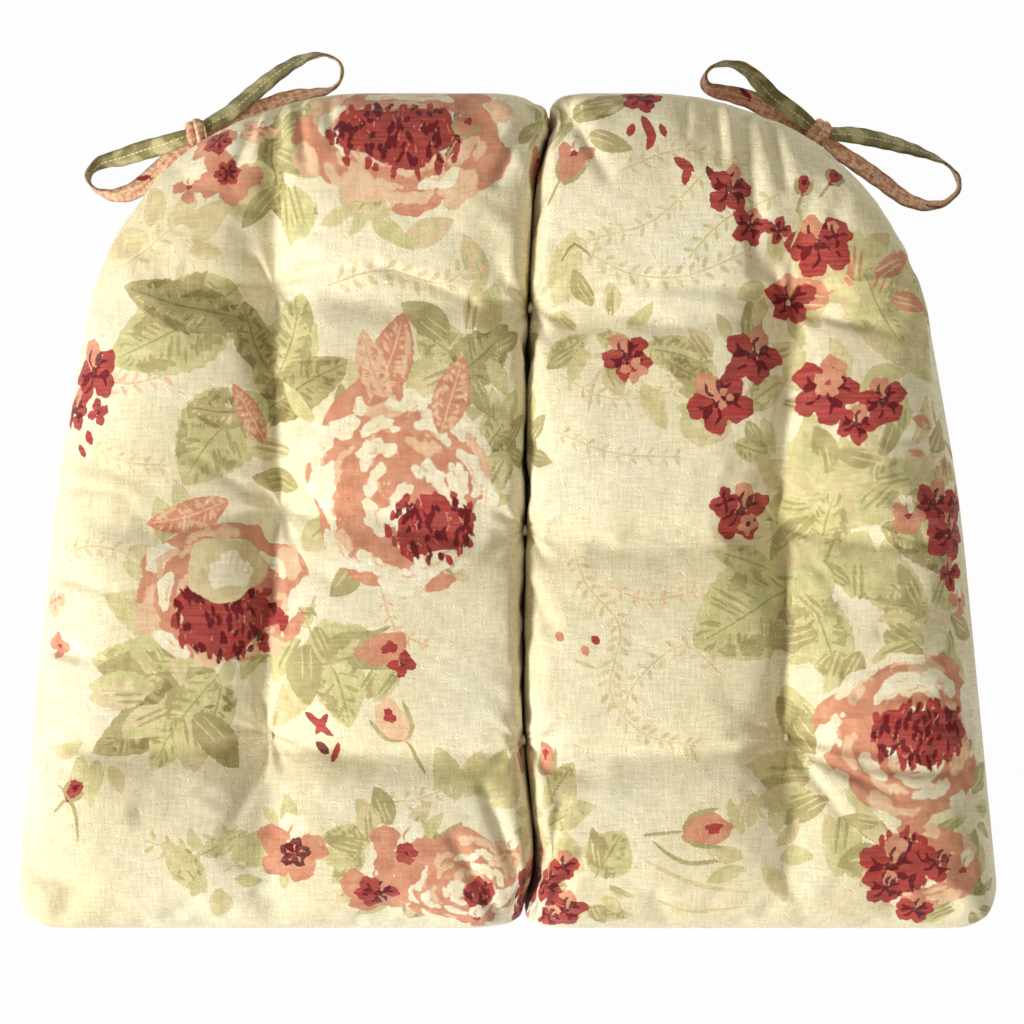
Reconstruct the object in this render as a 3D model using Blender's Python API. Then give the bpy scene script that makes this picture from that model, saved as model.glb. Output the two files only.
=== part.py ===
"""A tufted seat pad for a dining chair, in two halves that fold on a centre crease, with a tie bow at each back corner.

Units are metres, +Z is up and +Y points at the back edge, where the ties are. The origin is the middle of the pad's
underside. Each half is a stack of layers: covers outside, batting under them and a foam core in the middle.
"""

import math

import bmesh
import bpy
from mathutils import Vector
from mathutils.geometry import delaunay_2d_cdt

# Plan of the pad
DEPTH = 0.380  # front edge to back edge
FRONT_HALF_WIDTH = 0.2245  # centre to the front corner, before it is rounded
WAIST_HALF_WIDTH = 0.2055  # centre to the side, where its slope changes
BACK_HALF_WIDTH = 0.1733  # centre to the back corner, before it is rounded
WAIST_Y = 0.008
FRONT_RADIUS = 0.018
WAIST_RADIUS = 0.700
BACK_RADIUS = 0.130
NOTCH_FRONT_RADIUS = 0.014
NOTCH_BACK_RADIUS = 0.014
FOLD_X = 0.009  # the centre crease, a little right of the middle
FOLD_GAP = 0.0050  # between the two halves, where the fold strip lies

# Section of the pad
THICKNESS = 0.055
SEAM_Z = 0.025
FOLD_EDGE_Z = 0.0095  # the seam's height along the crease, lower than at the sides
SEAM_CLIMB = 0.030  # how far from the crease the seam reaches SEAM_Z
SEAM_GAP = 0.0016  # between the top and bottom covers' edges
EDGE_WIDTH = 0.045  # how far in from the seam the pad reaches its full height
EDGE_POWER = 2.2
COVER_WALL = 0.0010
BATTING_WALL = 0.0040
CLEARANCE = 0.0003
RINGS = (0.0, 0.11, 0.40, 1.0)  # shares of EDGE_WIDTH at which the layers have points

# Tufts
OUTER_COLUMNS = (-0.105, 0.125)
TUFT_ROWS = (-0.103, -0.005, 0.096)
ROW_NAMES = ("front", "middle", "back")
TUFT_DEPTH_TOP = 0.024
TUFT_DEPTH_UNDER = 0.011
DIMPLE_RADIUS = 0.034
DIMPLE_RINGS = ((0.40, 8), (1.0, 8))  # (share of DIMPLE_RADIUS, points)
SHANK_RADIUS = 0.0007
SHANK_CLEARANCE = 0.0005
BAR_RADIUS = 0.0009
BAR_LENGTH = 0.0055
BAR_LIFT = 0.0020  # from the cover at the tuft's middle to the bar's axis
STRIP_THICKNESS = 0.0020
STRIP_END = 0.0090  # from the pad's front and back edges to the fold strip's ends

# Seam thread and ties
THREAD_RADIUS = 0.00025
THREAD_INSET = 0.0006
THREAD_DROP = 0.00045
TIE_WIDTH = 0.0095
TIE_THICKNESS = 0.0012
ROOT_THICKNESS = 0.0004
ROOT_RISE = 0.00035  # above the seam plane, clear of the thread
ROOT_REACH_IN = 0.0055
ROOT_REACH_OUT = 0.0018
KNOT_SIZE = (0.0150, 0.0110, 0.0120)
KNOT_DROP = 0.0035  # from the seam down to the knot's middle

# The back corner's place and the knots' height that the knots' and straps' points below were chosen for
TIE_CORNER = (0.1473999, 0.1591154)
TIE_KNOT_Z = 0.0215

# Each bow's knot and the routes of its straps, as (x, y, z, lean). Lean is the strap's turn about its own length:
# 0 lies flat and 90 stands on its edge.
LEFT_KNOT = (-0.1420, 0.1725)
LEFT_LONG_LOOP = (
    (-0.1335, 0.1775, 0.0225, 25), (-0.1270, 0.1815, 0.0200, 25), (-0.1165, 0.1915, 0.0150, 30),
    (-0.1060, 0.2010, 0.0105, 40), (-0.0955, 0.2080, 0.0075, 55), (-0.0860, 0.2105, 0.0062, 75),
    (-0.0785, 0.2075, 0.0060, 88), (-0.0765, 0.2020, 0.0060, 92), (-0.0800, 0.1955, 0.0063, 105),
    (-0.0890, 0.1925, 0.0075, 125), (-0.1000, 0.1905, 0.0090, 140), (-0.1125, 0.1853, 0.0125, 150),
    (-0.1240, 0.1792, 0.0160, 155), (-0.1320, 0.1735, 0.0180, 155),
)
LEFT_SHORT_LOOP = (
    (-0.1510, 0.1690, 0.0230, 25), (-0.1580, 0.1670, 0.0200, 25), (-0.1680, 0.1650, 0.0150, 30),
    (-0.1780, 0.1625, 0.0105, 45), (-0.1875, 0.1605, 0.0075, 65), (-0.1935, 0.1555, 0.0062, 85),
    (-0.1925, 0.1500, 0.0060, 92), (-0.1865, 0.1462, 0.0063, 105), (-0.1790, 0.1455, 0.0072, 125),
    (-0.1710, 0.1480, 0.0090, 140), (-0.1625, 0.1540, 0.0125, 150), (-0.1560, 0.1595, 0.0155, 155),
    (-0.1500, 0.1650, 0.0175, 155),
)
LEFT_LONG_TAIL = (
    (-0.1363, 0.1735, 0.0140, 10), (-0.1338, 0.1680, 0.0085, 8), (-0.1290, 0.1650, 0.0035, 4),
    (-0.1203, 0.1677, 0.0011, 0),
    (-0.1047, 0.1740, 0.0011, 0), (-0.0842, 0.1796, 0.0011, 0), (-0.0630, 0.1815, 0.0011, 0),
    (-0.0450, 0.1820, 0.0011, 0), (-0.0270, 0.1825, 0.0011, 0),
)
LEFT_SHORT_TAIL = (
    (-0.1455, 0.1668, 0.0140, 10), (-0.1465, 0.1608, 0.0085, 8), (-0.1480, 0.1540, 0.0035, 4),
    (-0.1555, 0.1400, 0.0011, 0),
    (-0.1680, 0.1210, 0.0011, 0), (-0.1768, 0.1017, 0.0011, 0), (-0.1825, 0.0812, 0.0011, 0),
    (-0.1865, 0.0630, 0.0011, 0), (-0.1900, 0.0450, 0.0011, 0),
)
RIGHT_KNOT = (0.1420, 0.1725)
RIGHT_LONG_LOOP = (
    (0.1510, 0.1715, 0.0230, 25), (0.1580, 0.1715, 0.0200, 25), (0.1680, 0.1705, 0.0150, 30),
    (0.1790, 0.1685, 0.0105, 40), (0.1900, 0.1655, 0.0078, 55), (0.2010, 0.1610, 0.0063, 75),
    (0.2075, 0.1545, 0.0060, 88), (0.2080, 0.1480, 0.0060, 92), (0.2020, 0.1425, 0.0063, 105),
    (0.1930, 0.1410, 0.0072, 125), (0.1830, 0.1440, 0.0088, 140), (0.1720, 0.1515, 0.0120, 150),
    (0.1610, 0.1585, 0.0155, 155), (0.1515, 0.1645, 0.0175, 155),
)
RIGHT_SHORT_LOOP = (
    (0.1345, 0.1785, 0.0230, 25), (0.1290, 0.1830, 0.0200, 25), (0.1215, 0.1895, 0.0150, 32),
    (0.1160, 0.1970, 0.0105, 50), (0.1090, 0.2040, 0.0075, 70), (0.1010, 0.2065, 0.0062, 86),
    (0.0935, 0.2045, 0.0060, 92), (0.0905, 0.1990, 0.0060, 100), (0.0935, 0.1945, 0.0064, 115),
    (0.1030, 0.1920, 0.0080, 130), (0.1130, 0.1885, 0.0105, 142), (0.1235, 0.1810, 0.0150, 152),
    (0.1320, 0.1738, 0.0180, 155),
)
RIGHT_LONG_TAIL = (
    (0.1455, 0.1668, 0.0140, 10), (0.1465, 0.1608, 0.0085, 8), (0.1480, 0.1540, 0.0035, 4),
    (0.1555, 0.1400, 0.0011, 0),
    (0.1680, 0.1210, 0.0011, 0), (0.1768, 0.1017, 0.0011, 0), (0.1825, 0.0812, 0.0011, 0),
    (0.1865, 0.0630, 0.0011, 0), (0.1900, 0.0450, 0.0011, 0),
)
RIGHT_SHORT_TAIL = (
    (0.1363, 0.1735, 0.0140, 10), (0.1338, 0.1680, 0.0085, 8), (0.1290, 0.1650, 0.0035, 4),
    (0.1203, 0.1677, 0.0011, 0),
    (0.1047, 0.1740, 0.0011, 0), (0.0842, 0.1796, 0.0011, 0), (0.0630, 0.1815, 0.0011, 0),
    (0.0450, 0.1820, 0.0011, 0), (0.0270, 0.1825, 0.0011, 0),
)
STRAP_STEP = 0.006  # between the points of a strap's smooth route

# Arc segments of the plan's corners
BACK_SEGMENTS = 7
WAIST_SEGMENTS = 2
FRONT_SEGMENTS = 4
NOTCH_SEGMENTS = 3
STRAIGHT_STEP = 0.080


def clear_scene():
    """Empties the scene."""
    for obj in list(bpy.data.objects):
        bpy.data.objects.remove(obj, do_unlink=True)


def new_collection(name, hidden=False):
    """A collection in the scene; a hidden one holds cutters."""
    collection = bpy.data.collections.new(name)
    collection.hide_render = hidden
    bpy.context.scene.collection.children.link(collection)
    return collection


def new_material(name, color, roughness):
    """A plain Principled material."""
    material = bpy.data.materials.new(name)
    material.use_nodes = True
    shader = material.node_tree.nodes["Principled BSDF"]
    shader.inputs["Base Color"].default_value = (*color, 1.0)
    shader.inputs["Roughness"].default_value = roughness
    shader.inputs["Metallic"].default_value = 0.0
    return material


def object_from(bm, name, collection, material):
    """A named object with its own copy of the material, from a bmesh whose faces are turned outwards."""
    bmesh.ops.recalc_face_normals(bm, faces=bm.faces)
    mesh = bpy.data.meshes.new(name)
    bm.to_mesh(mesh)
    bm.free()
    obj = bpy.data.objects.new(name, mesh)
    obj.data.materials.append(material.copy())
    collection.objects.link(obj)
    return obj


# ---------------------------------------------------------------- plan


def fillet(before, corner, after, radius, segments):
    """The arc that rounds a corner, as points from the side before it to the side after it."""
    start = (before - corner).normalized()
    end = (after - corner).normalized()
    half = start.angle(end) / 2
    centre = corner + (start + end).normalized() * (radius / math.sin(half))
    first = corner + start * (radius / math.tan(half)) - centre
    last = corner + end * (radius / math.tan(half)) - centre
    sweep = math.pi - 2 * half
    side = 1 if first.cross(last) > 0 else -1
    points = []
    for i in range(segments + 1):
        turn = side * sweep * i / segments
        c, s = math.cos(turn), math.sin(turn)
        points.append(centre + Vector((first.x * c - first.y * s, first.x * s + first.y * c)))
    return points


def with_steps(points):
    """The closed outline with its long straight sides divided."""
    divided = []
    for point, following in zip(points, points[1:] + points[:1]):
        divided.append(point)
        length = (following - point).length
        parts = max(1, math.ceil(length / STRAIGHT_STEP))
        for i in range(1, parts):
            divided.append(point.lerp(following, i / parts))
    return divided


def half_outline(side):
    """The plan of one half, anticlockwise. side is -1 for the left half and 1 for the right."""
    inner = FOLD_X + side * FOLD_GAP / 2
    corners = (
        (inner, -DEPTH / 2, NOTCH_FRONT_RADIUS, NOTCH_SEGMENTS),
        (side * FRONT_HALF_WIDTH, -DEPTH / 2, FRONT_RADIUS, FRONT_SEGMENTS),
        (side * WAIST_HALF_WIDTH, WAIST_Y, WAIST_RADIUS, WAIST_SEGMENTS),
        (side * BACK_HALF_WIDTH, DEPTH / 2, BACK_RADIUS, BACK_SEGMENTS),
        (inner, DEPTH / 2, NOTCH_BACK_RADIUS, NOTCH_SEGMENTS),
    )
    places = [Vector(corner[:2]) for corner in corners]
    points = []
    for i, (_, _, radius, segments) in enumerate(corners):
        after = places[(i + 1) % len(places)]
        points += fillet(places[i - 1], places[i], after, radius, segments)
    points = with_steps(points)
    return points if side > 0 else points[::-1]


def nearest_on(outline, point):
    """The outline's nearest point."""
    best = None
    for a, b in zip(outline, outline[1:] + outline[:1]):
        along = b - a
        share = max(0.0, min(1.0, (point - a).dot(along) / along.length_squared))
        found = a + along * share
        if best is None or (point - found).length < (point - best).length:
            best = found
    return best


def inward_normals(outline):
    """At each point of the anticlockwise outline, the direction into it, lengthened so that sides keep their inset."""
    normals = []
    for i, point in enumerate(outline):
        a = (point - outline[i - 1]).normalized()
        b = (outline[(i + 1) % len(outline)] - point).normalized()
        left_a, left_b = Vector((-a.y, a.x)), Vector((-b.y, b.x))
        middle = (left_a + left_b).normalized()
        normals.append(middle / max(0.5, middle.dot(left_a)))
    return normals


def seam_height(x):
    """The seam's height at this distance from the crease: low along the crease and SEAM_Z round the sides."""
    share = min(1.0, max(0.0, (abs(x - FOLD_X) - FOLD_GAP / 2) / SEAM_CLIMB))
    return FOLD_EDGE_Z + (SEAM_Z - FOLD_EDGE_Z) * share * share * (3 - 2 * share)


def circle(centre, radius, count):
    """Points on a circle."""
    turns = [2 * math.pi * i / count for i in range(count)]
    return [centre + Vector((math.cos(t), math.sin(t))) * radius for t in turns]


class HalfPlan:
    """The flat triangulation that every layer of one half shares, with a hole at each tuft."""

    def __init__(self, side):
        self.outline = half_outline(side)
        column = OUTER_COLUMNS[0] if side < 0 else OUTER_COLUMNS[1]
        self.tufts = [Vector((column, y)) for y in TUFT_ROWS]
        self.hole = SHANK_RADIUS + SHANK_CLEARANCE
        points, loops = self._points()
        self.points, self.faces = self._triangulate(points, loops)
        self.inset = []
        for point in self.points:
            foot = nearest_on(self.outline, point)
            away = point - foot
            direction = away.normalized() if away.length > 1e-6 else None
            self.inset.append((away.length, direction))
        normals = inward_normals(self.outline)
        for i, point in enumerate(self.points):
            if self.inset[i][1] is None:
                order = min(range(len(self.outline)), key=lambda k: (self.outline[k] - point).length)
                self.inset[i] = (0.0, normals[order].normalized())

    def _points(self):
        """Ring points inside the outline, dimple rings and tuft holes, and the loops that must stay edges."""
        points = list(self.outline)
        loops = [list(range(len(points)))]
        normals = inward_normals(self.outline)
        for share in RINGS[1:]:
            depth = share * EDGE_WIDTH
            for point, normal in zip(self.outline, normals):
                moved = point + normal * depth
                clear = (moved - nearest_on(self.outline, moved)).length > 0.97 * depth
                if clear and not self._near_tuft(moved):
                    points.append(moved)
        for tuft in self.tufts:
            for share, count in DIMPLE_RINGS:
                ring = circle(tuft, share * DIMPLE_RADIUS, count)
                points += [p for p in ring if self._inside(p)]
            first = len(points)
            points += circle(tuft, self.hole, 6)
            loops.append(list(range(first, first + 6)))
        return points, loops

    def _near_tuft(self, point):
        """Whether a ring point would crowd a tuft's own points."""
        return any((point - tuft).length < 0.75 * DIMPLE_RADIUS for tuft in self.tufts)

    def _inside(self, point):
        """Whether a dimple point lies well inside the outline."""
        foot = nearest_on(self.outline, point)
        i = min(range(len(self.outline)), key=lambda k: (self.outline[k] - foot).length)
        middle = Vector((sum(p.x for p in self.outline), sum(p.y for p in self.outline))) / len(self.outline)
        inner = (point - foot).dot(middle - self.outline[i]) > 0
        return inner and (point - foot).length > 0.004

    def _triangulate(self, points, loops):
        """Delaunay triangles inside the outline, without the tuft holes."""
        edges = []
        for loop in loops:
            edges += list(zip(loop, loop[1:] + loop[:1]))
        verts, _, faces, _, _, _ = delaunay_2d_cdt(points, edges, [loops[0]], 1, 1e-6)
        kept = []
        for face in faces:
            middle = sum((verts[i] for i in face), Vector((0, 0))) / len(face)
            if all((middle - tuft).length > self.hole * 0.86 for tuft in self.tufts):
                kept.append(tuple(face))
        return [Vector(v) for v in verts], kept

    def dimple(self, point):
        """1 at a tuft's middle, 0 past its dimple."""
        share = 0.0
        for tuft in self.tufts:
            r = (point - tuft).length / DIMPLE_RADIUS
            if r < 1:
                share = max(share, (1 - r * r) ** 2)
        return share


def swell(share):
    """The rounded edge's height, from 0 at the seam to 1 at EDGE_WIDTH."""
    return (1 - (1 - min(share, 1.0)) ** EDGE_POWER) ** (1 / EDGE_POWER)


def surface_points(plan, offset, up):
    """The plan's points on the surface that lies offset inside the pad's skin, above the seam or below it."""
    placed = []
    for point, (inset, inward) in zip(plan.points, plan.inset):
        seam = seam_height(point.x)
        rise = (THICKNESS - seam) if up else seam
        tuft_height = rise - (TUFT_DEPTH_TOP if up else TUFT_DEPTH_UNDER)
        share = min(inset / EDGE_WIDTH, 1.0)
        moved = point + inward * (offset * (1 - share))
        height = SEAM_GAP / 2 + (rise - SEAM_GAP / 2) * swell(share)
        height -= max(0.0, height - tuft_height) * plan.dimple(point)
        height = max(SEAM_GAP / 2, height - offset * swell(share))
        placed.append((moved.x, moved.y, seam + (height if up else -height)))
    return placed


def shell_between(plan, outer, inner, name, collection, material):
    """A closed layer between two surfaces of the same plan, joined around its rim and its tuft holes."""
    bm = bmesh.new()
    sheets = []
    for places in (outer, inner):
        verts = [bm.verts.new(place) for place in places]
        for face in plan.faces:
            bm.faces.new([verts[i] for i in face])
        sheets.append(verts)
    partner = dict(zip(sheets[0], sheets[1]))
    for edge in [e for e in bm.edges if e.is_boundary and e.verts[0] in partner]:
        a, b = edge.verts
        bm.faces.new((a, b, partner[b], partner[a]))
    return object_from(bm, name, collection, material)


def build_half(plan, side_name, collection, materials):
    """Covers, batting and foam of one half."""
    under_cover = COVER_WALL + CLEARANCE
    under_batting = under_cover + BATTING_WALL + CLEARANCE
    for up, place in ((True, "top"), (False, "bottom")):
        shell_between(
            plan, surface_points(plan, 0.0, up), surface_points(plan, COVER_WALL, up),
            f"{place}_cover_{side_name}", collection, materials["cover"],
        )
        shell_between(
            plan, surface_points(plan, under_cover, up), surface_points(plan, under_batting - CLEARANCE, up),
            f"{place}_batting_{side_name}", collection, materials["batting"],
        )
    shell_between(
        plan, surface_points(plan, under_batting, True), surface_points(plan, under_batting, False),
        f"foam_core_{side_name}", collection, materials["foam"],
    )


# ---------------------------------------------------------------- tufts and seam


def cylinder(bm, radius, start, end, segments):
    """Adds a capped cylinder between two points."""
    axis = end - start
    turn = axis.to_track_quat("Z", "Y").to_matrix().to_4x4()
    turn.translation = (start + end) / 2
    bmesh.ops.create_cone(
        bm, cap_ends=True, segments=segments, radius1=radius, radius2=radius, depth=axis.length, matrix=turn
    )


def build_tuft(place, under, top, name, collection, cutters, material):
    """One tuft stitch: a bar at height top, a bar at height under and the thread between them."""
    at = Vector((place.x, place.y, 0))
    shank = bmesh.new()
    cylinder(shank, SHANK_RADIUS, at + Vector((0, 0, under)), at + Vector((0, 0, top)), 6)
    obj = object_from(shank, name, collection, material)
    for z, end in ((top, "top"), (under, "under")):
        bar = bmesh.new()
        reach = Vector((0, BAR_LENGTH / 2, 0))
        middle = at + Vector((0, 0, z))
        cylinder(bar, BAR_RADIUS, middle - reach, middle + reach, 8)
        join_with(obj, object_from(bar, f"{name}_{end}_bar", cutters, material), "UNION")


def join_with(obj, helper, operation):
    """A Boolean on obj with a helper that doesn't show itself."""
    helper.display_type = "WIRE"
    helper.hide_render = True
    boolean = obj.modifiers.new(helper.name, "BOOLEAN")
    boolean.operation = operation
    boolean.object = helper


def build_fold_strip(collection, cutters, material):
    """The strip of cover along the bottom of the crease, which the centre tufts go through."""
    bm = bmesh.new()
    bmesh.ops.create_cube(bm, size=1.0)
    size = (FOLD_GAP - 2 * CLEARANCE, DEPTH - 2 * STRIP_END, STRIP_THICKNESS)
    bmesh.ops.scale(bm, vec=size, verts=bm.verts)
    bmesh.ops.translate(bm, vec=(FOLD_X, 0, FOLD_EDGE_Z), verts=bm.verts)
    strip = object_from(bm, "fold_strip", collection, material)
    for row, y in enumerate(TUFT_ROWS):
        hole = bmesh.new()
        middle = Vector((FOLD_X, y, FOLD_EDGE_Z))
        reach = Vector((0, 0, STRIP_THICKNESS))
        cylinder(hole, SHANK_RADIUS + SHANK_CLEARANCE, middle - reach, middle + reach, 8)
        join_with(strip, object_from(hole, f"strip_hole_{row}", cutters, material), "DIFFERENCE")


def build_seam(plan, name, collection, material):
    """The thread that runs round one half between its two covers."""
    curve = bpy.data.curves.new(name, "CURVE")
    curve.dimensions = "3D"
    curve.bevel_depth = THREAD_RADIUS
    curve.bevel_resolution = 0
    spline = curve.splines.new("POLY")
    normals = inward_normals(plan.outline)
    spline.points.add(len(plan.outline) - 1)
    for slot, point, normal in zip(spline.points, plan.outline, normals):
        moved = point + normal * THREAD_INSET
        slot.co = (moved.x, moved.y, seam_height(point.x) - THREAD_DROP, 1)
    spline.use_cyclic_u = True
    obj = bpy.data.objects.new(name, curve)
    obj.data.materials.append(material.copy())
    collection.objects.link(obj)


# ---------------------------------------------------------------- ties


def smooth_route(points):
    """Places and leans along a Catmull-Rom curve through a strap's chosen points, about STRAP_STEP apart."""
    rows = [(Vector(p[:3]), p[3]) for p in points]
    padded = [rows[0], *rows, rows[-1]]
    route = []
    for i in range(1, len(padded) - 2):
        (a, _), (b, lean_b), (c, lean_c), (d, _) = padded[i - 1 : i + 3]
        parts = max(1, round((c - b).length / STRAP_STEP))
        for k in range(parts):
            t = k / parts
            bend = 2 * b + (c - a) * t + (2 * a - 5 * b + 4 * c - d) * t**2 + (3 * b - a - 3 * c + d) * t**3
            route.append((bend / 2, lean_b + (lean_c - lean_b) * t))
    route.append(rows[-1])
    return route


def build_strap(points, name, collection, material):
    """A flat strap along a route, as a curve widened by its extrusion and thickened by its bevel."""
    curve = bpy.data.curves.new(name, "CURVE")
    curve.dimensions = "3D"
    curve.twist_mode = "Z_UP"
    curve.bevel_depth = TIE_THICKNESS / 2
    curve.bevel_resolution = 0
    curve.extrude = (TIE_WIDTH - TIE_THICKNESS) / 2
    curve.use_fill_caps = True
    route = smooth_route(points)
    spline = curve.splines.new("POLY")
    spline.points.add(len(route) - 1)
    for slot, (place, lean) in zip(spline.points, route):
        slot.co = (*place, 1)
        slot.tilt = math.radians(90 - lean)
    obj = bpy.data.objects.new(name, curve)
    obj.data.materials.append(material.copy())
    collection.objects.link(obj)


def build_knot(place, turn, name, collection, material):
    """A bow's knot: a flattened ball, turned along its bow."""
    bm = bmesh.new()
    bmesh.ops.create_icosphere(bm, subdivisions=2, radius=0.5)
    bmesh.ops.scale(bm, vec=KNOT_SIZE, verts=bm.verts)
    obj = object_from(bm, name, collection, material)
    obj.location = (*place, SEAM_Z - KNOT_DROP)
    obj.rotation_euler = (0, 0, turn)
    obj.data.shade_smooth()


def corner_shift(side):
    """How far this side's back corner lies from the place that its ties' points were chosen for."""
    corner = nearest_on(half_outline(side), Vector((side * BACK_HALF_WIDTH, DEPTH / 2)))
    return corner - Vector((side * TIE_CORNER[0], TIE_CORNER[1]))


def build_root(side, name, collection, material):
    """The strap's sewn end: a tab held in the seam behind the knot."""
    knot = Vector(LEFT_KNOT if side < 0 else RIGHT_KNOT) + corner_shift(side)
    edge = nearest_on(half_outline(side), knot)
    outward = (knot - edge).normalized()
    length = ROOT_REACH_IN + ROOT_REACH_OUT
    middle = edge + outward * (ROOT_REACH_OUT - ROOT_REACH_IN) / 2
    bm = bmesh.new()
    bmesh.ops.create_cube(bm, size=1.0)
    bmesh.ops.scale(bm, vec=(length, TIE_WIDTH, ROOT_THICKNESS), verts=bm.verts)
    obj = object_from(bm, name, collection, material)
    obj.location = (middle.x, middle.y, SEAM_Z + ROOT_RISE)
    obj.rotation_euler = (0, 0, math.atan2(outward.y, outward.x))


def build_bow(side, collection, materials):
    """Root, knot, two loops and two tails of one corner's ties."""
    if side < 0:
        knot, routes, side_name, turn = LEFT_KNOT, (
            ("long_loop", LEFT_LONG_LOOP), ("short_loop", LEFT_SHORT_LOOP),
            ("long_tail", LEFT_LONG_TAIL), ("short_tail", LEFT_SHORT_TAIL),
        ), "left", math.radians(25)
    else:
        knot, routes, side_name, turn = RIGHT_KNOT, (
            ("long_loop", RIGHT_LONG_LOOP), ("short_loop", RIGHT_SHORT_LOOP),
            ("long_tail", RIGHT_LONG_TAIL), ("short_tail", RIGHT_SHORT_TAIL),
        ), "right", math.radians(-25)
    shift = corner_shift(side)
    lift = (SEAM_Z - KNOT_DROP) / TIE_KNOT_Z
    build_root(side, f"tie_root_{side_name}", collection, materials["tie"])
    build_knot(Vector(knot) + shift, turn, f"tie_knot_{side_name}", collection, materials["tie"])
    for name, points in routes:
        route = [(x + shift.x, y + shift.y, z * lift, lean) for x, y, z, lean in points]
        build_strap(route, f"tie_{name}_{side_name}", collection, materials["tie"])


def main():
    """Builds the pad."""
    clear_scene()
    parts = new_collection("seat_pad")
    cutters = new_collection("seat_pad_cutters", hidden=True)
    materials = {
        "cover": new_material("printed_cover", (0.80, 0.73, 0.52), 0.90),
        "batting": new_material("batting", (0.93, 0.93, 0.90), 0.95),
        "foam": new_material("foam", (0.90, 0.82, 0.60), 0.95),
        "thread": new_material("thread", (0.86, 0.80, 0.62), 0.80),
        "tie": new_material("tie_strap", (0.47, 0.44, 0.28), 0.85),
    }
    for side, side_name in ((-1, "left"), (1, "right")):
        plan = HalfPlan(side)
        build_half(plan, side_name, parts, materials)
        build_seam(plan, f"seam_thread_{side_name}", parts, materials["thread"])
        top = THICKNESS - TUFT_DEPTH_TOP + BAR_LIFT
        under = TUFT_DEPTH_UNDER - BAR_LIFT
        for place, row in zip(plan.tufts, ROW_NAMES):
            build_tuft(place, under, top, f"tuft_{side_name}_{row}", parts, cutters, materials["thread"])
        build_bow(side, parts, materials)
    build_fold_strip(parts, cutters, materials["cover"])
    reach = STRIP_THICKNESS / 2 + CLEARANCE + BAR_RADIUS
    for y, row in zip(TUFT_ROWS, ROW_NAMES):
        place = Vector((FOLD_X, y))
        under, top = FOLD_EDGE_Z - reach, FOLD_EDGE_Z + reach
        build_tuft(place, under, top, f"tuft_centre_{row}", parts, cutters, materials["thread"])


main()
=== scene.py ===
"""Looks of a tufted seat pad: printed covers shaped by cloth simulation, tuft threads, seams and tie bows.

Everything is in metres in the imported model's frame: the pad's underside is at z = 0 and its ties are at +Y.
"""

import logging
import math
from collections.abc import Callable, Sequence
from dataclasses import dataclass, field, replace
from enum import Enum

import bmesh
import bpy
import numpy as np
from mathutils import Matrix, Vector


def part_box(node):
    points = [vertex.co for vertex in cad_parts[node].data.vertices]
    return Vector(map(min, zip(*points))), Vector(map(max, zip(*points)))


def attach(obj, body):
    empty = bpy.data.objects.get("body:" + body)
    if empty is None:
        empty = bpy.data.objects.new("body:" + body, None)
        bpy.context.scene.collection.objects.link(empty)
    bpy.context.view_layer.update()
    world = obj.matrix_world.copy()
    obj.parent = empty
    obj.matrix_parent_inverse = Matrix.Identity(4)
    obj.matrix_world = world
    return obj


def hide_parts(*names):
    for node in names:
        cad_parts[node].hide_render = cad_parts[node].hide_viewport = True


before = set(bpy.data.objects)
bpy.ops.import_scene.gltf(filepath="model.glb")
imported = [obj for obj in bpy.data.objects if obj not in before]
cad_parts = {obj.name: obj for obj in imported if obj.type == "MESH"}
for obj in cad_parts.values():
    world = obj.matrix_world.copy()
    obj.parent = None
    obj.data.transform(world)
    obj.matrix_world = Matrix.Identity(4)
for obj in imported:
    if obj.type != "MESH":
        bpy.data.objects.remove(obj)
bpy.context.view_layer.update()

LOG = logging.getLogger("seat_pad")
Array = np.ndarray
Object = bpy.types.Object
Pair = tuple[float, float]
Spot = tuple[float, float, float]
Colour = tuple[float, float, float, float]
Node = bpy.types.ShaderNode
Socket = bpy.types.NodeSocket


class Side(Enum):
    """The two halves of the pad, with the sign of x on their outer side."""

    LEFT = -1
    RIGHT = 1

    @property
    def word(self) -> str:
        """The side's name as it stands in the names of nodes."""
        return self.name.lower()


class Face(Enum):
    """The upper and under cover of a half."""

    TOP = "top"
    BOTTOM = "bottom"


# ---------------------------------------------------------------- shaping helpers


def metres(value: float | tuple) -> float | tuple:
    """Millimetres as metres, through nested tuples."""
    return tuple(metres(part) for part in value) if isinstance(value, tuple) else value / 1000


def way_at(turn: float) -> Array:
    """The direction at an angle in plan."""
    return np.array([math.cos(turn), math.sin(turn)])


def smoothstep(value: Array) -> Array:
    """0 below 0, 1 above 1 and a smooth rise between."""
    share = np.clip(value, 0.0, 1.0)
    return share * share * (3.0 - 2.0 * share)


def swell(share: Array, power: float = 2.2) -> Array:
    """The rounded rise of a stuffed edge, from 0 at the seam to 1 at the full height."""
    return (1.0 - (1.0 - np.clip(share, 0.0, 1.0)) ** power) ** (1.0 / power)


def bump(distance: Array, width: float) -> Array:
    """A Gaussian ridge of the given half width."""
    return np.exp(-((distance / width) ** 2))


def waves(points: Array, seed: int, scale: float, octaves: int = 3) -> Array:
    """Smooth repeatable noise made of sine waves in mixed directions.

    Args:
        points: Places in the plane, one row each.
        seed: Picks the directions and phases.
        scale: The longest wave's length.
        octaves: How many finer sets of waves are added.

    Returns:
        One value a point, mostly between -1 and 1.
    """
    rng = np.random.default_rng(seed)
    total = np.zeros(len(points))
    for octave in range(octaves):
        for _ in range(4):
            turn, phase = rng.uniform(0, 2 * math.pi, 2)
            direction = way_at(turn)
            length = scale * rng.uniform(0.75, 1.25) / 2**octave
            total += np.sin(points @ direction * (2 * math.pi / length) + phase) * 0.5 / 2**octave
    return total / 1.6


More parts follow.
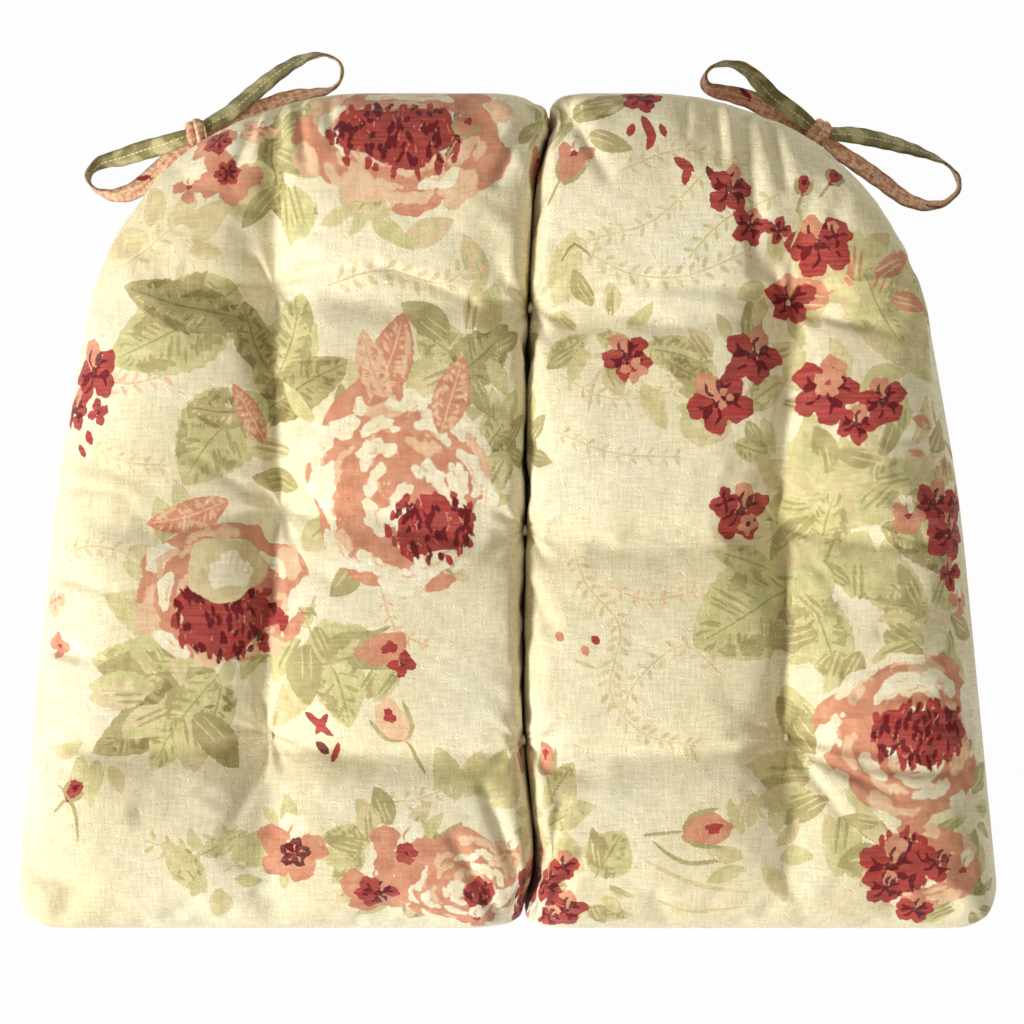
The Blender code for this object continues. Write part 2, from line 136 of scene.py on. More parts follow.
def catmull(points: Sequence[Sequence[float]], step: float) -> Array:
    """A smooth route through chosen points, with extra columns carried along.

    Args:
        points: Rows that start with a place and may hold more values after it.
        step: The distance between the route's points.

    Returns:
        The route's rows.
    """
    rows = np.array(points, float)
    padded = np.vstack([rows[0], rows, rows[-1]])
    route = []
    for i in range(1, len(padded) - 2):
        a, b, c, d = padded[i - 1 : i + 3]
        parts = max(1, round(float(np.linalg.norm((c - b)[:3])) / step))
        for k in range(parts):
            t = k / parts
            curve = 2 * b + (c - a) * t + (2 * a - 5 * b + 4 * c - d) * t**2 + (3 * b - a - 3 * c + d) * t**3
            route.append(curve / 2)
    route.append(rows[-1])
    return np.array(route)


def resample(line: Array, count: int) -> Array:
    """The line's points again, evenly spaced, as count rows."""
    lengths = np.concatenate([[0.0], np.cumsum(np.linalg.norm(np.diff(line, axis=0), axis=1))])
    places = np.linspace(0.0, lengths[-1], count)
    return np.stack([np.interp(places, lengths, line[:, k]) for k in range(line.shape[1])], axis=1)


def link(name: str, bm: bmesh.types.BMesh) -> Object:
    """Makes an object at the origin from a bmesh, and frees the bmesh."""
    mesh = bpy.data.meshes.new(name)
    bm.to_mesh(mesh)
    bm.free()
    obj = bpy.data.objects.new(name, mesh)
    bpy.context.scene.collection.objects.link(obj)
    return obj


def places_of(mesh: bpy.types.Mesh) -> Array:
    """The mesh's points as rows."""
    flat = np.empty(len(mesh.vertices) * 3, np.float32)
    mesh.vertices.foreach_get("co", flat)
    return flat.reshape(-1, 3).astype(float)


def put_places(mesh: bpy.types.Mesh, places: Array) -> None:
    """Moves the mesh's points to these rows."""
    mesh.vertices.foreach_set("co", places.astype(np.float32).ravel())
    mesh.update()


def baked(obj: Object) -> Object:
    """Applies all of the object's modifiers and returns it."""
    graph = bpy.context.evaluated_depsgraph_get()
    mesh = bpy.data.meshes.new_from_object(obj.evaluated_get(graph))
    obj.modifiers.clear()
    obj.data = mesh
    return obj


def subdivided(obj: Object, levels: int) -> Object:
    """The object with its mesh subdivided smoothly."""
    modifier = obj.modifiers.new("finer", "SUBSURF")
    modifier.levels = modifier.render_levels = levels
    modifier.boundary_smooth = "PRESERVE_CORNERS"
    return baked(obj)


def smooth(obj: Object) -> Object:
    """Shades the object smooth."""
    obj.data.shade_smooth()
    return obj


# ---------------------------------------------------------------- the pad's plan


@dataclass
class PadSizes:
    """Driving sizes of the visible pad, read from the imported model's boxes."""

    depth: float
    thickness: float
    front_half_width: float
    seam_height: float = 0.025
    waist_half_width: float = 0.2055
    back_half_width: float = 0.1733
    waist_y: float = 0.008
    front_radius: float = 0.019
    waist_radius: float = 0.700
    back_radius: float = 0.130
    notch_front_radius: float = 0.009
    notch_back_radius: float = 0.013
    crease_height: float = 0.0085
    crease_gap: float = 0.0004
    edge_width: float = 0.052
    crease_width: float = 0.0125
    tuft_height: float = 0.0300
    left_column: tuple[float, ...] = (-0.1075, -0.1020, -0.1060)
    right_column: tuple[float, ...] = (0.1260, 0.1225, 0.1270)
    centre_column: tuple[float, ...] = (0.0070, 0.0080, 0.0105)
    left_rows: tuple[float, ...] = (-0.1020, 0.0000, 0.1010)
    right_rows: tuple[float, ...] = (-0.1030, -0.0080, 0.0940)
    centre_rows: tuple[float, ...] = (-0.1040, -0.0090, 0.0920)
    crease_route: tuple[Pair, ...] = (
        (-0.192, 0.0055), (-0.176, 0.0085), (-0.158, 0.0120), (-0.132, 0.0105), (-0.104, 0.0078),
        (-0.060, 0.0074), (-0.009, 0.0080), (0.045, 0.0086), (0.092, 0.0098), (0.135, 0.0112),
        (0.158, 0.0150), (0.173, 0.0195), (0.183, 0.0175), (0.192, 0.0140),
    )

    @classmethod
    def from_frame(cls) -> "PadSizes":
        """Takes the outer sizes from the covers' boxes."""
        low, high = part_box("top_cover_left")
        _, high_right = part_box("top_cover_right")
        corner_rounding = 0.0019
        return cls(
            depth=float(high[1] - low[1]),
            thickness=float(high[2]),
            front_half_width=float(high_right[0]) + corner_rounding,
        )

    def crease_x(self, y: Array) -> Array:
        """The crease's place across the pad at each depth."""
        route = catmull(self.crease_route, 0.004)
        return np.interp(y, route[:, 0], route[:, 1])

    def tufts(self, side: Side) -> Array:
        """The tufts of one half, as rows of x and y, without the centre column."""
        if side is Side.LEFT:
            return np.column_stack([self.left_column, self.left_rows])
        return np.column_stack([self.right_column, self.right_rows])

    def centre_tufts(self) -> Array:
        """The tufts in the crease, as rows of x and y."""
        return np.column_stack([self.centre_column, self.centre_rows])


@dataclass
class HalfPlan:
    """The plan of one half: its outline, and a grid that fits it."""

    sizes: PadSizes
    side: Side
    across: int = 58
    wall_cells: int = 9
    wall_share: float = 0.055
    along: int = 86
    sides: list[Array] = field(default_factory=list)
    seam: Array = field(default_factory=lambda: np.zeros((0, 2)))

    def __post_init__(self) -> None:
        """Works out the four sides of the outline."""
        corners = self._corners()
        arcs = [self._fillet(i, corners) for i in range(len(corners))]
        front_in, front_out, waist, back_out, back_in = arcs
        half = len(back_out) // 2
        crease = np.vstack([front_in[len(front_in) // 2 :: -1], back_in[: len(back_in) // 2 - 1 : -1]])
        front = np.vstack([front_in[len(front_in) // 2 :], front_out[: len(front_out) // 2 + 1]])
        outer = np.vstack([front_out[len(front_out) // 2 :], waist, back_out[: half + 1]])
        back = np.vstack([back_out[half:], back_in[: len(back_in) // 2 + 1]])
        self.sides = [self._bent(line) for line in (crease, front, outer, back)]
        self.seam = np.vstack([resample(line, 220) for line in self.sides[1:]])

    def _corners(self) -> list[Spot]:
        """The outline's corners with their radii, from the crease's front end round to its back end."""
        s, sign = self.sizes, self.side.value
        inner = float(s.crease_x(np.array([0.0]))[0]) + sign * s.crease_gap / 2
        return [
            (inner, -s.depth / 2, s.notch_front_radius),
            (sign * s.front_half_width, -s.depth / 2, s.front_radius),
            (sign * s.waist_half_width, s.waist_y, s.waist_radius),
            (sign * s.back_half_width, s.depth / 2, s.back_radius),
            (inner, s.depth / 2, s.notch_back_radius),
        ]

    def _fillet(self, i: int, corners: list[Spot]) -> Array:
        """The arc that rounds corner i."""
        before, corner, after = (Vector(corners[k % len(corners)][:2]) for k in (i - 1, i, i + 1))
        radius = corners[i][2]
        start, end = (before - corner).normalized(), (after - corner).normalized()
        half = start.angle(end) / 2
        centre = corner + (start + end).normalized() * (radius / math.sin(half))
        first = corner + start * (radius / math.tan(half)) - centre
        last = corner + end * (radius / math.tan(half)) - centre
        share = np.linspace(0.0, 1.0, 21)[:, None]
        chord = np.array(first) * (1 - share) + np.array(last) * share
        return np.array(centre) + chord / np.linalg.norm(chord, axis=1, keepdims=True) * radius

    def _bent(self, line: Array) -> Array:
        """The line with its points near the crease moved over to the crease's real course."""
        fine = resample(line, 240)
        s = self.sizes
        straight = float(s.crease_x(np.array([0.0]))[0])
        nearness = 1.0 - smoothstep(np.abs(fine[:, 0] - straight) / 0.060)
        fine[:, 0] += nearness * (s.crease_x(fine[:, 1]) - straight)
        return fine

    def crowded(self, u: Array) -> Array:
        """Shares across the half with more of them on the steep wall of the crease."""
        part = self.wall_cells / self.across
        wall = self.wall_share * np.clip(u / part, 0.0, 1.0) ** 1.7
        return np.where(u < part, wall, self.wall_share + (1 - self.wall_share) * (u - part) / (1 - part))

    def grid_places(self, u: Array, v: Array) -> Array:
        """Where the unit square's points lie in the plan, by blending the four sides.

        Args:
            u: Share of the way from the crease to the outer side.
            v: Share of the way from the front to the back.

        Returns:
            One row of x and y a point.
        """
        crease, front, outer, back = self.sides
        count = 600
        crease, outer = resample(crease, count), resample(outer, count)
        front, back = resample(front, count), resample(back[::-1], count)

        def at(line: Array, share: Array) -> Array:
            """The line's places at these shares."""
            steps = np.linspace(0.0, 1.0, count)
            return np.stack([np.interp(share, steps, line[:, k]) for k in (0, 1)], axis=1)

        u1, v1 = u[:, None], v[:, None]
        sides = (1 - u1) * at(crease, v) + u1 * at(outer, v) + (1 - v1) * at(front, u) + v1 * at(back, u)
        corners = (
            (1 - u1) * (1 - v1) * crease[0] + u1 * (1 - v1) * outer[0]
            + (1 - u1) * v1 * crease[-1] + u1 * v1 * outer[-1]
        )
        return sides - corners

    def to_seam(self, points: Array) -> tuple[Array, Array]:
        """Each point's distance to the outer seam and the direction out of the pad there."""
        a, b = self.seam[:-1], self.seam[1:]
        along = b - a
        keep = np.linalg.norm(along, axis=1) > 1e-7
        a, along = a[keep], along[keep]
        best = np.full(len(points), np.inf)
        out = np.zeros((len(points), 2))
        turn = -self.side.value
        for start, step in zip(a, along):
            share = np.clip(((points - start) @ step) / (step @ step), 0.0, 1.0)
            away = points - (start + share[:, None] * step)
            distance = np.linalg.norm(away, axis=1)
            nearer = distance < best
            best[nearer] = distance[nearer]
            out[nearer] = np.array([-step[1], step[0]]) * turn / np.linalg.norm(step)
        return best, out


# ---------------------------------------------------------------- one half of the pad


@dataclass(frozen=True)
class Valley:
    """A wrinkle: a line in plan along which the top cover is drawn down."""

    start: Pair
    end: Pair
    width: float
    depth: float

    def drawn_down(self, points: Array, widen: float) -> Array:
        """How far the valley lowers each point, with its width taken widen times."""
        a, b = np.array(self.start), np.array(self.end)
        share = np.clip(((points - a) @ (b - a)) / ((b - a) @ (b - a)), 0.0, 1.0)
        away = np.linalg.norm(points - (a + share[:, None] * (b - a)), axis=1)
        faded = 0.35 + 0.65 * np.sin(math.pi * np.clip(share, 0.12, 0.88))
        return self.depth * bump(away, widen * self.width) * faded


# each wrinkle: its start, its end, its width and its depth, in millimetres
WRINKLES = tuple(Valley(*metres(row)) for row in (
    ((-107, -104), (-163, -134), 5, 3.6), ((-108, -106), (-126, -150), 4, 1.8),
    ((-107, -104), (-200, -106), 4.5, 2), ((-107, -106), (0, -108), 3.5, 2.6),
    ((10, -108), (126, -106), 3.5, 2.4), ((124, -100), (122.5, 12), 4.2, 6),
    ((123, 0), (127, 88), 4.5, 3.6), ((-105, 0), (-108, -98), 4.6, 4.6), ((-102, 4), (-107, 98), 4.6, 4.8),
    ((128, -103), (190, -110), 3.2, 3), ((128, -100), (186, -88), 3.2, 2.4),
    ((127, -104), (172, -126), 3.2, 2.2), ((127, -106), (152, -140), 3, 1.8),
    ((150, -72), (208, -63), 2.8, 2.6), ((166, -54), (205, -46), 2.6, 1.8),
    ((156, -84), (210, -80), 2.8, 2.4), ((166, -98), (212, -94), 2.6, 2.2),
    ((160, -114), (214, -118), 3, 2.4), ((125, -8), (176, -14), 4, 2.2), ((124, -10), (162, 22), 3.5, 1.6),
    ((124, -8), (150, -40), 3.5, 1.4), ((-104, 108), (-105, 184), 4.8, 5.2),
    ((-124, 146), (-112, 180), 3.2, 2.8), ((-90, 152), (-94, 184), 3, 2.4),
    ((-78, 164), (-80, 186), 2.6, 1.4), ((112, 108), (106, 184), 4.8, 4.6),
    ((124, 146), (116, 180), 3.2, 2.8), ((96, 156), (94, 186), 3, 2.2), ((80, 168), (80, 188), 2.6, 1.4),
    ((-104, 0), (-160, -6), 4.5, 2.2), ((-104, 2), (-142, 26), 3.6, 1.4),
    ((-108, 101), (-154, 104), 4.6, 2.2), ((128, 94), (166, 102), 4.2, 2),
    ((-10, -124), (4, -160), 3.6, 3.4), ((24, -130), (16, -164), 3.4, 3.2),
    ((-24, -146), (-2, -186), 3.4, 2.8), ((34, -152), (14, -187), 3.4, 2.8), ((-4, 146), (10, 180), 3.6, 3),
    ((44, 150), (26, 181), 3.6, 2.8), ((-104, 104), (-60, 110), 3.6, 4), ((-62, 110), (-16, 94), 3, 3.8),
    ((18, 90), (64, 100), 3.4, 3), ((60, 100), (120, 98), 4, 3), ((130, 100), (186, 112), 3.6, 3.4),
    ((128, 92), (170, 80), 3.2, 2.2), ((20, -6), (120, -10), 5, 2), ((-100, 0), (-12, 4), 5, 2.2),
    ((-180, -66), (-212, -62), 3, 1.6), ((-176, -36), (-208, -28), 3, 1.6), ((-172, 8), (-200, 12), 3, 1.4),
    ((170, 30), (200, 34), 2.8, 1.6), ((172, 4), (204, 2), 2.8, 1.8), ((150, 106), (172, 120), 3, 1.4),
))


def arc_excess(width: float, rise: float) -> tuple[Array, Array]:
    """How much longer the cloth is than its plan, against the distance in from a rounded edge."""
    inset = np.linspace(0.0, width, 400)
    slope = np.gradient(rise * swell(inset / width), inset)
    extra = np.sqrt(1.0 + slope**2) - 1.0
    total = np.concatenate([np.cumsum(extra[::-1])[::-1][1:], [0.0]]) * (inset[1] - inset[0])
    return inset, np.minimum(total, 0.8 * rise)


@dataclass
class PadHalf:
    """One stuffed half: two covers, their filling and the seam thread between them."""

    sizes: PadSizes
    side: Side
    top_levels: int = 3
    bottom_levels: int = 2
    cloth_excess: float = 0.022
    pressure: float = 3.0
    frames: int = 20
    cover_depth: float = 0.0022
    most_moved: float = 0.0065
    thread_radius: float = 0.00025
    plan: HalfPlan = field(init=False)

    def __post_init__(self) -> None:
        """Makes the plan."""
        self.plan = HalfPlan(self.sizes, self.side)

    @property
    def body(self) -> str:
        """The body that this half rides on."""
        return f"{self.side.word}_half"

    def edge_height(self, points: Array) -> Array:
        """The seam's height: low at the crease and half way up elsewhere."""
        s = self.sizes
        off = np.abs(points[:, 0] - s.crease_x(points[:, 1]))
        return s.crease_height + (s.seam_height - s.crease_height) * smoothstep(off / 0.022)

    def top_height(self, points: Array, to_seam: Array) -> Array:
        """The top cover's height before it is blown up."""
        s = self.sizes
        x, y = points[:, 0], points[:, 1]
        off = np.abs(x - s.crease_x(y))
        edge = self.edge_height(points)
        inside = smoothstep(to_seam / 0.055)
        crown = s.thickness + 0.0004 + 0.0006 * waves(points, 3 + self.side.value, 0.060)
        column, row = s.tufts(self.side)[:, 0], s.tufts(self.side)[:, 1]
        line = np.interp(y, row, column)
        crown -= 0.0060 * bump(x - line, 0.014) * inside
        for place, depth in zip(row, (0.0074, 0.0040, 0.0062)):
            sag = place - 0.008 * (1.0 - bump(x - line, 0.035))
            crown -= depth * bump(y - sag, 0.0105) * inside
        for i, (tx, ty) in enumerate(np.vstack([s.tufts(self.side), s.centre_tufts()])):
            reach = np.hypot(x - tx, y - ty)
            deep = (s.thickness - s.tuft_height - 0.0120) if i < 3 else 0.008
            crown -= deep * np.exp(-((reach / 0.0135) ** 1.15))
        by_seam = edge + (crown - edge) * swell(to_seam / s.edge_width)
        by_crease = s.crease_height + (crown - s.crease_height) * swell(off / s.crease_width, 2.8)
        soft = 0.0012
        least = np.minimum(by_seam, by_crease)
        blend = np.exp(-(by_seam - least) / soft) + np.exp(-(by_crease - least) / soft)
        return least - soft * np.log(blend)

    def bottom_height(self, points: Array, to_seam: Array) -> Array:
        """The bottom cover's height: flat on the seat, rising to the seam and dimpled at the tufts."""
        s = self.sizes
        x, y = points[:, 0], points[:, 1]
        off = np.abs(x - s.crease_x(y))
        edge = self.edge_height(points)
        rise = edge * (1.0 - swell(to_seam / 0.044))
        rise = np.maximum(rise, s.crease_height * (1.0 - swell(off / 0.020, 2.0)))
        for tx, ty in s.tufts(self.side):
            rise += 0.010 * np.exp(-((np.hypot(x - tx, y - ty) / 0.013) ** 1.3))
        return rise + 0.0004

    def flat_places(self, points: Array, to_seam: Array, out: Array, face: Face) -> Array:
        """Where each point lies on the unsewn cloth, so the print doesn't smear round the edges."""
        s = self.sizes
        seam_inset, seam_extra = arc_excess(s.edge_width, s.thickness - s.seam_height)
        crease_inset, crease_extra = arc_excess(s.crease_width, s.thickness - s.crease_height)
        flat = points + out * np.interp(to_seam, seam_inset, seam_extra)[:, None]
        off = np.abs(points[:, 0] - s.crease_x(points[:, 1]))
        if face is Face.TOP:
            flat[:, 0] -= self.side.value * np.interp(off, crease_inset, crease_extra)
            return flat
        return np.column_stack([0.031 - flat[:, 0], flat[:, 1] - 0.017])

    def sheet_mesh(self, face: Face) -> tuple[bmesh.types.BMesh, Array]:
        """One cover as a grid in place, with its places on the flat cloth."""
        bm = bmesh.new()
        bmesh.ops.create_grid(bm, x_segments=self.plan.across, y_segments=self.plan.along, size=0.5)
        bm.verts.ensure_lookup_table()
        unit = np.array([vert.co[:2] for vert in bm.verts]) + 0.5
        on_edge = np.array([vert.is_boundary for vert in bm.verts])
        points = self.plan.grid_places(self.plan.crowded(unit[:, 0]), unit[:, 1])
        to_seam, out = self.plan.to_seam(points)
        height = (self.top_height if face is Face.TOP else self.bottom_height)(points, to_seam)
        height[on_edge] = self.edge_height(points)[on_edge]
        for vert, (x, y), z in zip(bm.verts, points, height):
            vert.co = (x, y, z)
        bm.normal_update()
        bm.faces.ensure_lookup_table()
        if (bm.faces[len(bm.faces) // 2].normal.z > 0) != (face is Face.TOP):
            bmesh.ops.reverse_faces(bm, faces=bm.faces)
        return bm, self.flat_places(points, to_seam, out, face)

    def held_share(self, places: Array, on_edge: Array) -> Array:
        """1 at the points that stay still while the cloth is blown up, 0 elsewhere."""
        s = self.sizes
        held = on_edge | (places[:, 2] < 0.0030)
        for reach, tufts in ((0.0040, s.tufts(self.side)), (0.0060, s.centre_tufts())):
            for tx, ty in tufts:
                held |= np.hypot(places[:, 0] - tx, places[:, 1] - ty) < reach
        return held.astype(float)

    def blown_up(self) -> tuple[list[Object], list[Array]]:
        """Both covers after the simulation, and their places on the flat cloth."""
        sheets, flats = [], []
        for face in Face:
            bm, flat = self.sheet_mesh(face)
            sheets.append(link(f"{face.value}_cover_{self.side.word}_visual", bm))
            flats.append(flat)
        bm = bmesh.new()
        for sheet in sheets:
            bm.from_mesh(sheet.data)
        bmesh.ops.remove_doubles(bm, verts=[vert for vert in bm.verts if vert.is_boundary], dist=1e-6)
        bag = link("bag", bm)
        rest = places_of(bag.data)
        same = [self.same_points(rest, places_of(sheet.data)) for sheet in sheets]
        on_edge = np.zeros(len(rest), bool)
        on_edge[np.intersect1d(same[0], same[1])] = True
        self.add_cloth(bag, self.held_share(rest, on_edge))
        for number in range(1, self.frames + 1):
            bpy.context.scene.frame_set(number)
        moved = places_of(baked(bag).data) - rest
        bpy.data.objects.remove(bag, do_unlink=True)
        bpy.context.scene.frame_set(1)
        far = np.linalg.norm(moved, axis=1, keepdims=True)
        moved *= self.most_moved * np.tanh(far / self.most_moved) / np.maximum(far, 1e-9)
        LOG.info("%s half: the cloth moved %.1f mm at most", self.side.word, 1000 * far.max())
        settled = self.kept_apart(rest + moved)
        for sheet, index in zip(sheets, same):
            put_places(sheet.data, settled[index])
        return sheets, flats

    def kept_apart(self, places: Array) -> Array:
        """The places again, with none past the crease, above the pad's thickness or under its seat."""
        s, sign = self.sizes, self.side.value
        wall = s.crease_x(places[:, 1]) + sign * s.crease_gap / 2
        places[:, 0] = wall + sign * np.maximum(sign * (places[:, 0] - wall), 0.0)
        places[:, 2] = np.clip(places[:, 2], 0.0003, s.thickness + 0.004)
        return places

    @staticmethod
    def same_points(rest: Array, places: Array) -> Array:
        """For each place, the number of the same point in rest."""
        numbers = {tuple(row): i for i, row in enumerate(np.round(rest, 6))}
        return np.array([numbers[tuple(row)] for row in np.round(places, 6)])

    def add_cloth(self, bag: Object, held: Array) -> None:
        """Makes the closed bag cloth, held at the seams, tufts and seat."""
        group = bag.vertex_groups.new(name="held")
        group.add(np.flatnonzero(held).tolist(), 1.0, "REPLACE")
        cloth = bag.modifiers.new("cloth", "CLOTH")
        settings = cloth.settings
        settings.quality = 5
        settings.mass = 0.15
        settings.tension_stiffness = 15
        settings.compression_stiffness = 12
        settings.shear_stiffness = 5
        settings.bending_stiffness = 0.25
        settings.air_damping = 2.0
        settings.vertex_group_mass = "held"
        settings.shrink_min = -self.cloth_excess
        settings.shrink_max = -self.cloth_excess
        settings.use_pressure = True
        settings.uniform_pressure_force = self.pressure
        settings.effector_weights.gravity = 0.0
        cloth.collision_settings.use_collision = False
        cloth.point_cache.frame_start = 1
        cloth.point_cache.frame_end = self.frames

    def build(self, printed: "Print", finishes: "Finishes") -> list[Object]:
        """Makes the covers, the filling and the seam thread, and says what they ride on.

        Args:
            printed: The print of the cloth.
            finishes: The materials.

        Returns:
            The finished pieces.
        """
        sheets, flats = self.blown_up()
        word = self.side.word
        pieces = [self.filling(sheets, finishes), self.seam_thread(finishes)]
        levels = (self.top_levels, self.bottom_levels)
        for sheet, flat, level, face in zip(sheets, flats, levels, Face):
            self.store_flat(sheet, flat)
            subdivided(sheet, level)
            if face is Face.TOP:
                self.crumple(sheet)
            smooth(sheet)
            printed.put_on(sheet)
            sheet.data.materials.append(finishes.cover)
            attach(sheet, self.body)
            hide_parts(f"{face.value}_cover_{word}")
            pieces.append(sheet)
        return pieces

    def crumple(self, obj: Object, under: float = 0.0, widen: float = 1.0) -> None:
        """Draws the wrinkles and the tufts' puckers into a fine mesh.

        Args:
            obj: The cover or the filling.
            under: How far to draw all of it in, in metres.
            widen: How much wider than the cover's the wrinkles are.
        """
        s = self.sizes
        places = places_of(obj.data)
        normals = np.empty(len(places) * 3, np.float32)
        obj.data.vertices.foreach_get("normal", normals)
        normals = normals.reshape(-1, 3)
        flat = places[:, :2]
        squares = sum(wrinkle.drawn_down(flat, widen) ** 2 for wrinkle in WRINKLES)
        lowered = np.sqrt(squares) + 0.00022 * waves(flat, 21, 0.024, 2)
        for i, tuft in enumerate(np.vstack([s.tufts(self.side), s.centre_tufts()])):
            away = flat - tuft
            reach, turn = np.linalg.norm(away, axis=1), np.arctan2(away[:, 1], away[:, 0])
            puckers = np.cos(7 * turn + 1.7 * i) + 0.6 * np.cos(11 * turn + i)
            lowered *= smoothstep((reach - 0.001) / 0.012)
            lowered += 0.0006 * puckers * np.exp(-(((reach - 0.011) / 0.007) ** 2))
        lowered *= smoothstep((places[:, 2] - s.seam_height) / 0.010)
        places -= normals * (lowered + under)[:, None]
        sign = self.side.value
        past = sign * (s.crease_x(places[:, 1]) - places[:, 0]) + s.crease_gap / 2 + under
        places[:, 0] += sign * np.clip(past, 0.0, None)
        put_places(obj.data, places)

    @staticmethod
    def store_flat(sheet: Object, flat: Array) -> None:
        """Keeps the places on the flat cloth as the sheet's own attribute."""
        stored = sheet.data.attributes.new("flat", "FLOAT_VECTOR", "POINT")
        rows = np.column_stack([flat, np.zeros(len(flat))]).astype(np.float32)
        stored.data.foreach_set("vector", rows.ravel())

    def filling(self, sheets: list[Object], finishes: "Finishes") -> Object:
        """The batting and foam inside, a little smaller than the covers."""
        bm = bmesh.new()
        for sheet in sheets:
            bm.from_mesh(sheet.data)
        bmesh.ops.remove_doubles(bm, verts=bm.verts, dist=1e-6)
        word = self.side.word
        filling = subdivided(link(f"filling_{word}", bm), 1)
        self.crumple(filling, self.cover_depth, 1.3)
        smooth(filling)
        filling.data.materials.append(finishes.batting)
        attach(filling, self.body)
        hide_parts(f"top_batting_{word}", f"bottom_batting_{word}", f"foam_core_{word}")
        return filling

    def seam_thread(self, finishes: "Finishes") -> Object:
        """The thread that closes the half, along its seam."""
        line = np.vstack([resample(side, 90)[:-1] for side in self.plan.sides])
        height = self.edge_height(line) - 0.0002
        middle = np.array([line[:, 0].mean(), line[:, 1].mean()])
        inward = (middle - line) / np.linalg.norm(middle - line, axis=1, keepdims=True) * 0.0008
        route = np.column_stack([line + inward, height])
        thread = tube(f"seam_thread_{self.side.word}_visual", route, self.thread_radius, closed=True)
        thread.data.materials.append(finishes.thread)
        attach(thread, self.body)
        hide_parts(f"seam_thread_{self.side.word}")
        return thread


# ---------------------------------------------------------------- the print, its motifs in millimetres


class Ink(Enum):
    """The inks of the print, in the order they are laid."""

    TAN = "ink_tan"
    SAGE = "ink_sage"
    OLIVE = "ink_olive"
    MOSS = "ink_moss"
    SALMON = "ink_salmon"
    BLUSH = "ink_blush"
    PETAL = "ink_petal"
    RED = "ink_red"
    WINE = "ink_wine"


TAN, SAGE, OLIVE, MOSS, SALMON, BLUSH, PETAL, RED, WINE = Ink


@dataclass(frozen=True)
class Rose:
    """A full rose: its place, size, turn, and where its open heart lies in it."""

    place: Pair
    radius: float
    squeeze: float = 0.85
    turn: float = 0.0
    heart: Pair = (0.0, -0.3)
    heart_size: Pair = (0.5, 0.34)
    pale: float = 0.4
    open_side: float = 0.0


@dataclass(frozen=True)
class Leaf:
    """A leaf from its stalk to its tip, with its widest half width and its inks."""

    stalk: Pair
    tip: Pair
    width: float
    ink: Ink = SAGE
    vein: Ink = OLIVE
    curl: float = 0.0


@dataclass(frozen=True)
class Blossom:
    """A small five-petalled blossom."""

    place: Pair
    radius: float
    ink: Ink = RED
    heart: Ink = WINE
    petals: int = 5
    turn: float = 0.0


@dataclass(frozen=True)
class Stroke:
    """A brush stroke through points, tapering to both ends."""

    points: tuple[Pair, ...]
    width: float
    ink: Ink


@dataclass(frozen=True)
class Sprig:
    """A thin stem with small leaves on both sides."""

    points: tuple[Pair, ...]
    leaf: float
    ink: Ink
    spacing: float = 7


@dataclass(frozen=True)
class Bud:
    """A closed bud on its calyx."""

    place: Pair
    length: float
    turn: float
    ink: Ink = SALMON
    core: Ink = RED


@dataclass(frozen=True)
class Foliage:
    """Loose painterly leaves that spread out round a place."""

    place: Pair
    reach: float
    count: int
    length: float
    inks: tuple[Ink, ...] = (SAGE, OLIVE, TAN)
    start: float = 0.0
    sweep: float = 2 * math.pi


Motif = Rose | Leaf | Blossom | Stroke | Sprig | Bud | Foliage
LENGTHS = ("place", "radius", "stalk", "tip", "width", "points", "leaf", "spacing", "length", "reach")


